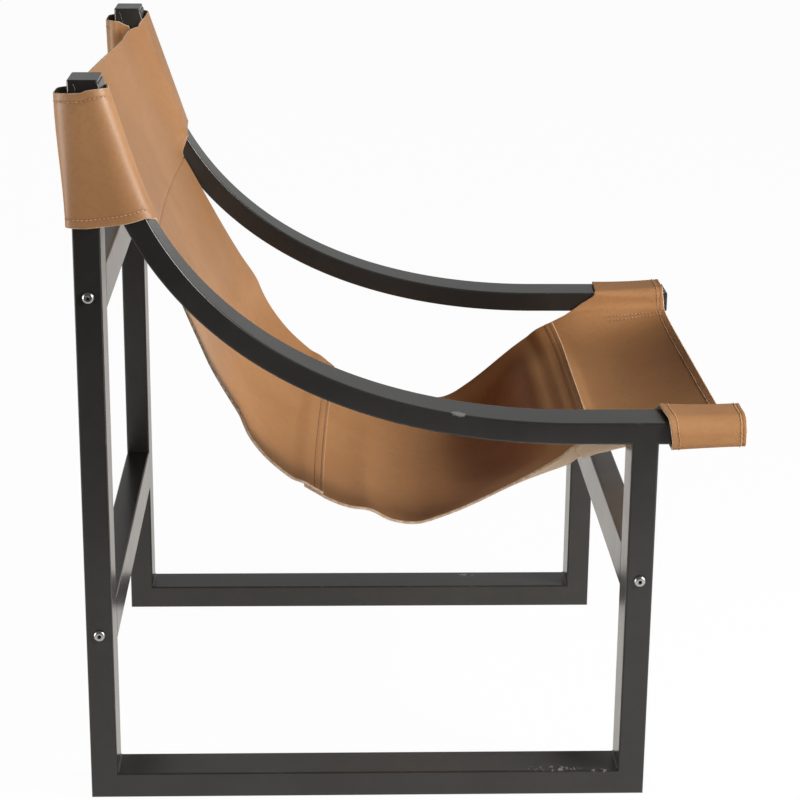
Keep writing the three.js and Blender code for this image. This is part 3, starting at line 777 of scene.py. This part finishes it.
def stitch_row(face, normal, row, column):
    """Stitches along a line on a sheet, given by its fractional rows and columns. Each is a short arched
    spindle: centre + along u + out (arch + r cos w) + side r sin w, with arch = girth (rise - drop u^4)
    and r = girth sqrt(end - u^4), where it is not more than the girth."""
    path, out = at_index(face, row, column), at_index(normal, row, column)
    run = run_along(path)
    count = max(int(run[-1] / stitch_pitch), 1)
    centres = (np.arange(count) + 0.5) * run[-1] / count
    first, last = (point_on(path, run, centres + half * stitch_length) for half in (-0.5, 0.5))
    along = unit(last - first)
    middle, up = point_on(path, run, centres), point_on(out, run, centres)
    side = np.cross(up, along)
    u = stitch_places[:, None]
    w = np.linspace(0, 2 * np.pi, 6, endpoint=False)[None]
    girth = stitch_girth * np.sqrt(np.clip(stitch_end - u ** 4, 0, 1))
    height = stitch_girth * (stitch_rise - stitch_drop * u ** 4) + girth * np.cos(w)
    sideways = girth * np.sin(w)
    lengthways = u * stitch_length / 2
    axes = lambda v: v[:, None, None]
    return (axes(middle) + axes(along) * lengthways[..., None] + axes(up) * height[..., None]
            + axes(side) * sideways[..., None])


def put_stitches(name, thread_shade, *rows):
    """All stitch rows of a panel as one piece. The second argument is the share of painted shade on the
    thread between its holes; at its holes the thread is painted wholly in shade.
    """
    points = np.concatenate(rows)
    single = tube_faces(*points.shape[1:3])
    size = points.shape[1] * points.shape[2]
    starts = (np.arange(len(points)) * size)[:, None, None]
    quads, ends = np.array(single[:-2]), np.array(single[-2:])
    faces = [*(quads + starts).reshape(-1, 4).tolist(), *(ends + starts).reshape(-1, 6).tolist()]
    piece = put_piece(name, points, faces, "leather", thread, sharp=80.0)
    # Painted shade: whole where the thread goes into its holes, the given share between them
    hole_shade = np.where(np.abs(stitch_places) == 1.0, 1.0, thread_shade)
    mark(piece, "hole_shade", np.tile(np.repeat(hole_shade, points.shape[2]), len(points)))
    return piece


# The third value is how far a stitch groove is darkened: painted shade, with the pressed hide's darkening.
groove_wide, groove_deep, groove_shade = 0.0016, 0.00035, 0.5
seam_turn, seam_turn_reach, seam_gap = 0.0016, 0.0035, 0.00015


def groove(distance):
    """Depth share of the channel that a row of stitches pulls into the hide: exp(-(distance / width)^2)."""
    return np.exp(-(distance / groove_wide) ** 2)


def turned_down(from_seam):
    """Depth by which a hide turns down into an edge to edge seam, by the square of the nearness."""
    return seam_turn * np.clip(1 - from_seam / seam_turn_reach, 0, 1) ** 2


sleeve_top, sleeve_bottom = 0.812, 0.670
hug = 0.0019
inner_wall, outer_wall = frame_middle - arm_half - hug, frame_middle + arm_half + hug
sleeve_steps = (8, 14, 7, 8, 16, 8, 14, 8, 9, 5)
sleeve_loose, sleeve_hem = {-1: 0.0042, 1: 0.0022}, 0.0085
sweep_from, drawn_from, drawn_whole, least_room = 0.185, back_seam_height + 0.004, 0.668, 0.0004
sleeve_corner = {-1: 0.671, 1: 0.659}
sleeve_taut, sleeve_slack = {-1: 0.6, 1: 1.0}, {-1: 0.0085, 1: 0.0050}
sleeve_long, corner_soft, corner_first = 0.014, 0.0085, 0.2
crest_rise, crest_steps, crest_cut = 0.0045, 14.0, 0.0100
rear_drop, tail_drop, rear_slack = 0.002, 0.006, 0.0035
round_least, round_low, round_loose, outside_loose = 0.004, 0.010, 3.0, 0.8
rear_most, front_most = 0.52, 0.40
tail_short, tail_least, tail_inside = 0.0008, 0.001, 0.0016


def sleeve_front(side, height):
    """X of the sleeve's front at a height: the arm's front, and in its hollow a share of the way out to
    the straight line from the sleeve's bottom to its top."""
    here, ends = arm_front_at(height, hug), arm_front_at(np.array([sleeve_bottom, sleeve_top]), hug)
    straight = ends[0] + (ends[1] - ends[0]) * (height - sleeve_bottom) / (sleeve_top - sleeve_bottom)
    return here + sleeve_taut[side] * np.maximum(straight - here, 0)


def edge_room(side, height):
    """X of the panel's bare edge at a height, its distance behind the arm's front corner, the share of
    that distance by which the margin is drawn forward, which fades out towards the seam, and the angle
    at which it meets the corner."""
    slope = (side_shape[side]["seam"] - top_x[side]) / (top_height - back_seam_height)
    edge_x = top_x[side] + slope * (top_height - height)
    drawn = ease(height, drawn_from, drawn_whole)
    front = sleeve_front(side, height)
    room = np.maximum(front - corner_first * corner_soft - edge_x, least_room)
    steep = 3 * drawn / (inner_wall - sweep_from) + 2 * (1 - drawn) / (inner_wall - sling_half)
    turn = np.arctan(room * steep)
    room = np.maximum(front - corner_soft * (1 - np.cos(turn)) - edge_x, least_room)
    return edge_x, room, drawn, turn


def margin_share(place, turn):
    """Share of the way from where the margin begins to swing forward to where it meets the corner."""
    return np.clip((place - sweep_from) / (inner_wall + corner_soft * (1 - np.sin(turn)) - sweep_from), 0, 1)


def sleeve(side, share):
    """One sleeve, row by row. In plan it carries on the panel's margin, which swings forward by the cube
    of the way, to the arm's front corner, crosses the arm's front, comes back along the outside, rounds
    the post with slack that grows upwards and ends behind the panel's edge. Each column has its own top
    and bottom height."""
    columns = sum(sleeve_steps)
    step = np.arange(1, columns + 1)
    begins = np.concatenate([[0], np.cumsum(sleeve_steps)])
    crest = begins[4] + sleeve_steps[4] / 2
    hump = np.exp(-((step - crest) / crest_steps) ** 2)
    behind = ease(step, crest, columns)
    top = (top_height + (sleeve_top - top_height) * np.clip(step / begins[2], 0, 1) + crest_rise * hump
           - rear_drop * behind - tail_drop * ease(step, begins[9] - 2, columns) ** 2)
    bottom = np.interp(step, [0, begins[2], crest, begins[6]], [
        back_seam_height, sleeve_corner[side], sleeve_bottom + crest_cut, sleeve_bottom])
    height = top + (bottom - top) * share[:, None]
    loose = sleeve_loose[side]
    wide = tube_soft + hug + loose * round_loose
    inner, outer = inner_wall, outer_wall + loose * outside_loose
    pieces = []
    for k, count in enumerate(sleeve_steps):
        z = height[:, begins[k]:begins[k + 1]]
        upwards = ease(z, sleeve_bottom, sleeve_top)
        slack = rear_slack + sleeve_slack[side] * upwards
        wide_long = wide + round_least + round_low * (1 - upwards)
        front = sleeve_front(side, z)
        edge_x, room, drawn, turn = edge_room(side, z)
        rear, rear_soft = -hug - slack, tube_soft + hug + slack
        span = front + loose - rear
        rear_long = np.minimum(rear_soft + sleeve_long, rear_most * span)
        wide_long = np.minimum(wide_long, front_most * span)
        t = np.arange(1, count + 1) / count
        along = (begins[k] + np.arange(1, count + 1)) / begins[2]
        met = inner + corner_soft * (1 - np.sin(turn))
        across = sling_half + (met - sling_half) * along
        ahead = drawn * margin_share(across, turn) ** 3 + (1 - drawn) * along ** 2
        quarter = lambda a, first: a * np.cos(np.radians(first + 90 * t))
        rise_of = lambda a, first: a * np.sin(np.radians(first + 90 * t))
        run_to = lambda a, b: a + (b - a) * t
        x, y = (edge_x + room * ahead, across) if k < 2 else [
            (front - corner_soft * (1 - np.cos(turn * (1 - t))),
             inner + corner_soft * (1 - np.sin(turn * (1 - t)))),
            (run_to(front, front + loose), run_to(inner + corner_soft, outer - wide)),
            (front + loose - wide_long + quarter(wide_long, 0), outer - wide + rise_of(wide, 0)),
            (run_to(front + loose - wide_long, rear + rear_long), outer),
            (rear + rear_long + quarter(rear_long, 90), outer - rear_soft + rise_of(rear_soft, 90)),
            (rear, run_to(outer - rear_soft, inner + rear_soft)),
            (rear + rear_soft + quarter(rear_soft, 180), inner + rear_soft + rise_of(rear_soft, 180)),
            (run_to(rear + rear_soft, np.maximum(edge_x - tail_short, rear + rear_soft + tail_least)),
             inner + tail_inside),
        ][k - 2]
        pieces.append(points_of(x, y, z))
    points = np.concatenate(pieces, axis=1)
    points[..., 0] += post_back
    points[..., 1] *= side
    return points[:, ::side]


upper_rows = spaced(0.0, 0.0011, 0.013, 0.0045, to_back_seam - 0.014, 0.0011, to_back_seam - seam_gap)
upper_share = upper_rows / upper_rows[-1]
upper_flat = 0.70
upper_across = spaced(-1.0, 0.010, -upper_flat, 0.03, upper_flat, 0.010, 1.0)
top_cut = top_dip * (1 - ease(np.abs(upper_across), upper_flat, 1.0))[None]
upper_down = top_cut + (upper_rows[-1] - top_cut) * upper_share[:, None]
upper_panel = sling_at(upper_down, upper_across[None])
for side in (-1, 1):
    _, room, drawn, turn = edge_room(side, upper_panel[..., 2])
    upper_panel[..., 0] += room * drawn * margin_share(side * upper_across[None] * sling_half, turn) ** 3
upper_middle = np.concatenate([sleeve(-1, upper_share), upper_panel, sleeve(1, upper_share)], axis=1)
sleeve_columns = sum(sleeve_steps)
panel_columns = slice(sleeve_columns, sleeve_columns + len(upper_across))

upper_lift = np.zeros(upper_middle.shape[:2])
upper_pressed_shade = np.zeros(upper_middle.shape[:2])
upper_lift[:, panel_columns] -= turned_down(upper_rows[-1] - upper_rows)[:, None]
down_sleeve = upper_share[:, None] * (sleeve_top - sleeve_bottom)
from_panel = np.concatenate([np.arange(sleeve_columns, 0, -1), np.zeros(len(upper_across)),
                             np.arange(1, sleeve_columns + 1)])
sewn_from, sewn_to = sum(sleeve_steps[:4]) + 5.0, sum(sleeve_steps[:8]) + 4.0
on_sleeve = ease(from_panel, sewn_from - 2, sewn_from) - ease(from_panel, sewn_to, sewn_to + 2)
hems = groove(down_sleeve - sleeve_hem) + groove(sleeve_top - sleeve_bottom - sleeve_hem - down_sleeve)
upper_lift -= groove_deep * hems * on_sleeve
# Painted shade along the hem grooves of the sleeves.
upper_pressed_shade += groove_shade * hems * on_sleeve

upper_back, upper_face, upper_normal = put_hide("upper_back_hide", upper_middle, upper_lift, upper_pressed_shade)
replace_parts(upper_back, "upper_back_panel")

hem_rows = []
last_column = sleeve_columns + len(upper_across) - 1.0
for first, last in ((sleeve_columns - sewn_to, sleeve_columns - sewn_from),
                    (last_column + sewn_from, last_column + sewn_to)):
    columns = np.linspace(first, last, 300)
    for share in (sleeve_hem, sleeve_top - sleeve_bottom - sleeve_hem):
        row = index_of(share / (sleeve_top - sleeve_bottom), upper_share)
        hem_rows.append(stitch_row(upper_face, upper_normal, np.full(300, row), columns))
upper_thread = put_stitches("upper_back_stitching", 0.0, *hem_rows)


# Lower back panel
# The same hide. It meets the upper panel edge to edge, where only a fine groove shows, and its foot laps
# over the seat panel under two rows of stitches.

main_across = spaced(-1.0, 0.006, -0.93, 0.026, 0.93, 0.006, 1.0)
lap_lift, skive_most, skive_reach, row_margin = hide + 0.0003, 0.25, 0.009, 0.8


def lap_over(distance, seam):
    """Lift of the upper half of a lapped seam, ramped on to the lower half."""
    return lap_lift * ease(distance, seam - lap - ramp, seam - lap)


def skived(from_edge):
    """Share of the thickness pared off towards a lapped edge, most at the edge itself."""
    return skive_most * (1 - ease(from_edge, 0.0, skive_reach))[:, None]


def sewn_along(rows, seam, insets):
    """Depth share of the stitch rows along a seam, at given insets from it, at each row of a panel."""
    return sum(groove(seam - rows - inset) for inset in insets)[:, None]


def rows_along(face, normal, rows, seam, insets):
    """Stitch rows along a seam, at given insets from it, a margin short of the panel's side edges."""
    columns = np.linspace(row_margin, len(main_across) - 1 - row_margin, 400)
    return [stitch_row(face, normal, np.full(400, index_of(seam - inset, rows)), columns)
            for inset in insets]


back_rows = spaced(to_back_seam + seam_gap, 0.0010, to_back_seam + 0.006, 0.0050,
                   to_seat_seam - 0.045, 0.0022, to_seat_seam - 0.018, 0.0010, to_seat_seam)
seat_stitch = (0.0026, 0.0113)
back_middle = sling_at(back_rows[:, None], main_across[None])
sewn = sewn_along(back_rows, to_seat_seam, seat_stitch)
back_lift = lap_over(back_rows, to_seat_seam) - turned_down(back_rows - to_back_seam)
lower_back, back_face, back_normal = put_hide(
    "lower_back_hide", back_middle, back_lift[:, None] - groove_deep * sewn, groove_shade * sewn)
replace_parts(lower_back, "lower_back_panel")
back_thread = put_stitches("lower_back_stitching", 0.50, *rows_along(
    back_face, back_normal, back_rows, to_seat_seam, seat_stitch))


# Seat panel
# The same hide, tucked under the foot of the back panel and hanging in the low of the sling. Its front
# edge is left bare and laps over the front panel under two rows of stitches.

seat_rows = spaced(to_seat_seam - lap, 0.0040, to_seat_seam - 0.002, 0.0020, to_seat_seam + 0.024, 0.0045,
                   to_front_seam - 0.045, 0.0022, to_front_seam - 0.016, 0.0010, to_front_seam)
front_stitch, tuck_in = (0.0048, 0.0115), 0.014
tucked = tuck_in * (1 - ease(seat_rows, to_seat_seam - 0.004, to_seat_seam + 0.006))[:, None]
seat_middle = sling_at(seat_rows[:, None], main_across[None] * (1 - tucked))
sewn = sewn_along(seat_rows, to_front_seam, front_stitch)
seat_lift = lap_over(seat_rows, to_front_seam)[:, None] - groove_deep * sewn
seat, seat_face, seat_normal = put_hide(
    "seat_hide", seat_middle, seat_lift, groove_shade * sewn, skived(to_front_seam - seat_rows))
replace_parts(seat, "seat_panel")
seat_thread = put_stitches("seat_stitching", 0.65, *rows_along(
    seat_face, seat_normal, seat_rows, to_front_seam, front_stitch))


# Front panel
# The same hide, cut with a wide tab at each side. The tab turns up inside the arm, over its top, down
# the outside and back underneath, and its end is sewn below the panel's margin by two rows.

loop_steps = (9, 8, 8, 10, 9, 9, 8, 10, 8)
loop_front = {-1: 0.7295, 1: 0.7200}
loop_slack = {-1: 0.0040, 1: 0.0034}
loop_soft = {-1: 0.0170, 1: 0.0110}
loop_tight = {-1: 0.0062, 1: 0.0095}
loop_climb, loop_rear = {-1: 0.0695, 1: 0.0535}, {-1: 0.6487, 1: 0.6350}
loop_hem, loop_rear_hem = {-1: 0.0056, 1: 0.0080}, 0.0076
loop_tilt, tilt_about = {-1: 0.040, 1: 0.075}, 0.690
climb_shares, climb_power, forward_steps = (0.0, 0.38, 0.80, 1.0), 1.9, 26
rear_past_seam, slack_rear, slack_front, slack_outside = 0.004, 0.9, 0.2, 0.9
turn_bulge, turn_rise, low_round = 0.0035, 0.012, 0.003
tab_gap, tab_turns_at, tab_from, tab_under, tab_step = 0.0006, 0.003, 0.985, 0.024, 0.004
tab_rows, tab_sewn_fade, tab_sewn_from = (0.0082, 0.0156), 0.070, 0.078
tab_sewn_short, line_before_seam = 0.004, 0.05
front_groove_deep, hem_end_columns, rear_hem_columns = 0.0003, 12.0, 8.0


def front_distance(x):
    """Distance along the sling of a place along the front panel."""
    start = (side_shape[-1]["front_seam"][0] + side_shape[1]["front_seam"][0]) / 2
    end = (side_shape[-1]["front"][0] + side_shape[1]["front"][0]) / 2
    return to_front_seam + (to_front - to_front_seam) * np.clip((x - start) / (end - start), 0, 1)


def loop(side, share):
    """One loop, row by row. In cross-section it leaves the panel's edge, turns up inside the arm, rounds
    its top loosely, comes down outside and back under to lie below the panel. Its rear edge sweeps
    forward as it climbs: 1 - (1 - u)^power of the sweep at a share u of the climb."""
    columns = sum(loop_steps)
    begins = np.concatenate([[0], np.cumsum(loop_steps)])
    step = np.arange(1, columns + 1)
    climb = np.interp(step, begins[:4], climb_shares)
    seam_x = side_shape[side]["front_seam"][0]
    rear_top = seam_x + rear_past_seam + loop_climb[side]
    rear = (seam_x - lap + (lap + rear_past_seam) * ease(step, 0, 3)
            + loop_climb[side] * (1 - (1 - climb) ** climb_power)
            + (loop_rear[side] - rear_top) * ease(step, begins[3], begins[6]))
    panel_front = side_shape[side]["front"][0]
    forward = ease(step, 0, forward_steps) - ease(step, begins[7], begins[8])
    reach = panel_front + (loop_front[side] - panel_front) * forward
    x = rear + (reach - rear) * share[:, None]
    more = slack_rear * (1 - share[:, None]) ** 2 + slack_front * share[:, None] ** 2
    loose = loop_slack[side] * (1.0 + more)
    inner, outer = inner_wall, frame_middle + arm_half + loose * slack_outside
    top, under = arm_height + loose, arm_under - hug - tab_gap
    tight, wide, low_soft = loop_tight[side], loop_soft[side], tube_soft + hug + low_round
    line = lines[side][0]
    front_part = line[:, 0] >= seam_x - line_before_seam
    pieces = []
    for k, count in enumerate(loop_steps):
        here = x[:, begins[k]:begins[k + 1]]
        t = np.arange(1, count + 1) / count
        edge_z = np.interp(here, line[front_part, 0], line[front_part, 2])
        turn = np.radians(90 * t)
        run_to = lambda a, b: a + (b - a) * t
        if k == 8:
            v = tab_from + (1 - tab_under / sling_half - tab_from) * t
            below = sling_at(front_distance(here), side * v)
            beside = sling_at(front_distance(here), side * (v + tab_step)) - below
            normal = unit(np.stack([-beside[..., 2], side * beside[..., 1]], axis=-1))
            y = np.abs(below[..., 1]) - normal[..., 0] * (hide + tab_gap)
            z = below[..., 2] - normal[..., 1] * (hide + tab_gap)
        else:
            y, z = [
                (sling_half + (inner - sling_half) * (1 - (1 - t) ** 2),
                 edge_z + 2 * t * (1 - t) * turn_bulge + turn_rise * t ** 2),
                (inner, run_to(edge_z + turn_rise, top - tight)),
                (inner + tight - tight * np.cos(turn), top - tight + tight * np.sin(turn)),
                (run_to(inner + tight, outer - wide), top),
                (outer - wide + wide * np.sin(turn), top - wide + wide * np.cos(turn)),
                (outer, run_to(top - wide, under + low_soft)),
                (outer - low_soft + low_soft * np.cos(turn), under + low_soft - low_soft * np.sin(turn)),
                (run_to(outer - low_soft, frame_middle - arm_half + tab_turns_at), under),
            ][k]
        pieces.append(points_of(here, y, z))
    points = np.concatenate(pieces, axis=1)
    turned_up = (ease(step, begins[2], begins[3]) - ease(step, begins[7], begins[8]))[None]
    points[..., 2] += loop_tilt[side] * (points[..., 0] - tilt_about) * turned_up
    points[..., 0] += post_back
    points[..., 1] *= side
    return points[:, ::side]


front_rows = spaced(to_front_seam - lap, 0.0040, to_front_seam - 0.002, 0.0012, to_front_seam + 0.012, 0.0035,
                    to_front - 0.016, 0.0010, to_front)
front_share = (front_rows - front_rows[0]) / (front_rows[-1] - front_rows[0])
front_across = spaced(-1.0, 0.005, -0.88, 0.025, 0.88, 0.005, 1.0)
front_middle = np.concatenate([
    loop(-1, front_share), sling_at(front_rows[:, None], front_across[None]), loop(1, front_share)], axis=1)
loop_columns = sum(loop_steps)
panel_columns = slice(loop_columns, loop_columns + len(front_across))
front_lift = np.zeros(front_middle.shape[:2])
front_pressed_shade = np.zeros(front_middle.shape[:2])
hem = groove(to_front - front_rows - loop_hem[1])[:, None]
margin = sling_half * (1 - np.abs(front_across))[None]
sewn_part = ease(front_rows, to_front_seam + tab_sewn_fade, to_front_seam + tab_sewn_from)[:, None]
tab_sewn = sum(groove(margin - inset) for inset in tab_rows) * sewn_part
front_lift -= front_groove_deep * hem
front_lift[:, panel_columns] -= front_groove_deep * tab_sewn
# Painted shade along the hem and tab stitch grooves.
front_pressed_shade += groove_shade * hem
front_pressed_shade[:, panel_columns] += groove_shade * tab_sewn

front, front_face, front_normal = put_hide(
    "front_hide", front_middle, front_lift, np.clip(front_pressed_shade, 0, 1))
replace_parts(front, "front_panel")

total = front_middle.shape[1]
long = np.linalg.norm(np.diff(front_middle, axis=0), axis=2).sum(axis=0)
front_hem = []
hem_across = np.interp(np.arange(total), (loop_columns, total - loop_columns), (loop_hem[-1], loop_hem[1]))
for first, last, from_front in ((hem_end_columns, total - hem_end_columns, True),
                                (hem_end_columns, loop_columns - rear_hem_columns, False)):
    columns = np.linspace(first, last, 700)
    inset = np.interp(columns, np.arange(total), (hem_across if from_front else loop_rear_hem) / long)
    row = index_of(1 - inset if from_front else inset, front_share)
    front_hem.append(stitch_row(front_face, front_normal, row, columns))
tab_line = np.linspace(to_front_seam + tab_sewn_from, to_front - tab_sewn_short, 200)
tab_row = index_of(tab_line, front_rows)
for way in (-1, 1):
    for inset in tab_rows:
        column = loop_columns + index_of(way * (1 - inset / sling_half), front_across)
        front_hem.append(stitch_row(front_face, front_normal, tab_row, np.full(200, column)))
front_thread = put_stitches("front_stitching", 0.1, *front_hem)


# Studio
# A pale floor, darker towards the camera, under a white surround. A large soft box stands in front of the
# chair, a weak one beside the camera and a low one behind. The camera is where the photograph's was.

floor_white, floor_dark = (0.90, 0.90, 0.90, 1.0), (0.08, 0.08, 0.08, 1.0)
plain_white, warm_white = (1.0, 1.0, 1.0, 1.0), (1.0, 0.95, 0.90, 1.0)
floor_reach, dark_from, dark_whole = 9.0, 1.1, 1.7
floor_seen, floor_reflection_glow = 0.97, 0.9
surround_near, surround_beyond, surround_fill = 0.08, 0.32, 0.03
chair_middle = np.array([0.0, 0.0, 0.5])


def ray(wire, kind):
    """1 on rays of one kind, such as those straight from the camera, and 0 on others."""
    return wire.node("ShaderNodeLightPath", {}, {}, out=kind)


floor_mesh = bpy.data.meshes.new("studio_floor")
floor_mesh.from_pydata([(-floor_reach, -floor_reach, 0), (floor_reach, -floor_reach, 0),
                        (floor_reach, floor_reach, 0), (-floor_reach, floor_reach, 0)], [], [(0, 1, 2, 3)])
floor = bpy.data.objects.new("studio_floor", floor_mesh)
bpy.context.scene.collection.objects.link(floor)
floor_finish, place, shader = new_finish("studio_white")
shader["Roughness"].default_value = 0.9
shader["Specular IOR Level"].default_value = 0.1
across_floor = place.node("ShaderNodeSeparateXYZ", {}, {"Vector": place}, out="Y")
darkened = rise(across_floor * -1.0, dark_from, dark_whole)
blend(darkened, floor_white, floor_dark).into(shader["Base Color"])
seen, shiny = ray(place, "Is Camera Ray"), ray(place, "Is Glossy Ray")
glow = blend(shiny, plain_white, warm_white)
bright = place.node("ShaderNodeEmission", {}, {"Color": glow, "Strength": 1.0})
floor_nodes = place.tree.nodes
shaded = Wire(place.tree, floor_nodes["Principled BSDF"].outputs[0])
# Straight to the camera the floor shows near-white with a faint trace of its shadow; in glossy rays its far
# half glows white: a glowing floor that is no lamp, painted into the frame's reflections.
mixed = place.node("ShaderNodeMixShader", {}, {
    0: seen * floor_seen + shiny * rise(across_floor, -1.0, -0.2) * floor_reflection_glow, 1: shaded, 2: bright})
mixed.into(floor_nodes["Material Output"].inputs["Surface"])
floor_mesh.materials.append(floor_finish)

world = bpy.data.worlds.new("studio_surround")
bpy.context.scene.world = world
world.use_nodes = True
sky = Wire(world.node_tree)
seen, shiny, clear = (ray(sky, f"Is {kind} Ray") for kind in ("Camera", "Glossy", "Transmission"))
heading = sky.node("ShaderNodeTexCoord", {}, {}, out="Generated")
beyond = rise(sky.node("ShaderNodeSeparateXYZ", {}, {"Vector": heading}, out="Y"), -0.35, 0.35)
shown = sky.math("MAXIMUM", seen, clear)
mirrored = shiny * (surround_near + beyond * surround_beyond)
level = shown + (1.0 - shown) * (mirrored + (1.0 - shiny) * surround_fill)
background = world.node_tree.nodes["Background"].inputs
background["Color"].default_value = plain_white
level.into(background["Strength"])


def aimed(place, ahead, roll=0.0):
    """Matrix of a lamp or camera at a place that looks ahead, turned by roll about its line of sight."""
    right = unit(np.cross(ahead, up_z))
    up = np.cross(right, ahead)
    matrix = np.eye(4)
    matrix[:3, :4] = np.stack([np.cos(roll) * right + np.sin(roll) * up,
                               np.cos(roll) * up - np.sin(roll) * right, -ahead, place], axis=-1)
    return Matrix(matrix.tolist())


def soft_light(name, place, wide, tall, watts, shows=True):
    """A rectangular soft box at a place, turned to the chair, which may be kept out of reflections."""
    lamp = bpy.data.lights.new(name, "AREA")
    lamp.shape, lamp.size, lamp.size_y, lamp.energy = "RECTANGLE", wide, tall, watts
    box = bpy.data.objects.new(name, lamp)
    box.matrix_world = aimed(place, unit(chair_middle - place))
    box.visible_glossy = shows
    bpy.context.scene.collection.objects.link(box)


soft_light("key_box", (2.06, -0.99, 1.50), 1.2, 1.2, 87.0)
soft_light("side_box", (1.6, -2.1, 0.70), 1.0, 0.8, 5.0, shows=False)
soft_light("rear_box", (-2.5, -0.9, 0.60), 1.0, 0.8, 36.0)

eye = np.array([-0.09346, -2.58847, 1.20097])
yaw, pitch, roll = np.radians([2.15, 17.551, 0.578])
ahead = np.array([np.sin(yaw) * np.cos(pitch), np.cos(yaw) * np.cos(pitch), -np.sin(pitch)])
lens = bpy.data.cameras.new("photo_camera")
lens.sensor_width, lens.lens = 36.0, 99.153
camera = bpy.data.objects.new("photo_camera", lens)
camera.matrix_world = aimed(eye, ahead, roll)
bpy.context.scene.collection.objects.link(camera)
bpy.context.scene.camera = camera
bpy.context.scene.view_settings.view_transform = "Standard"
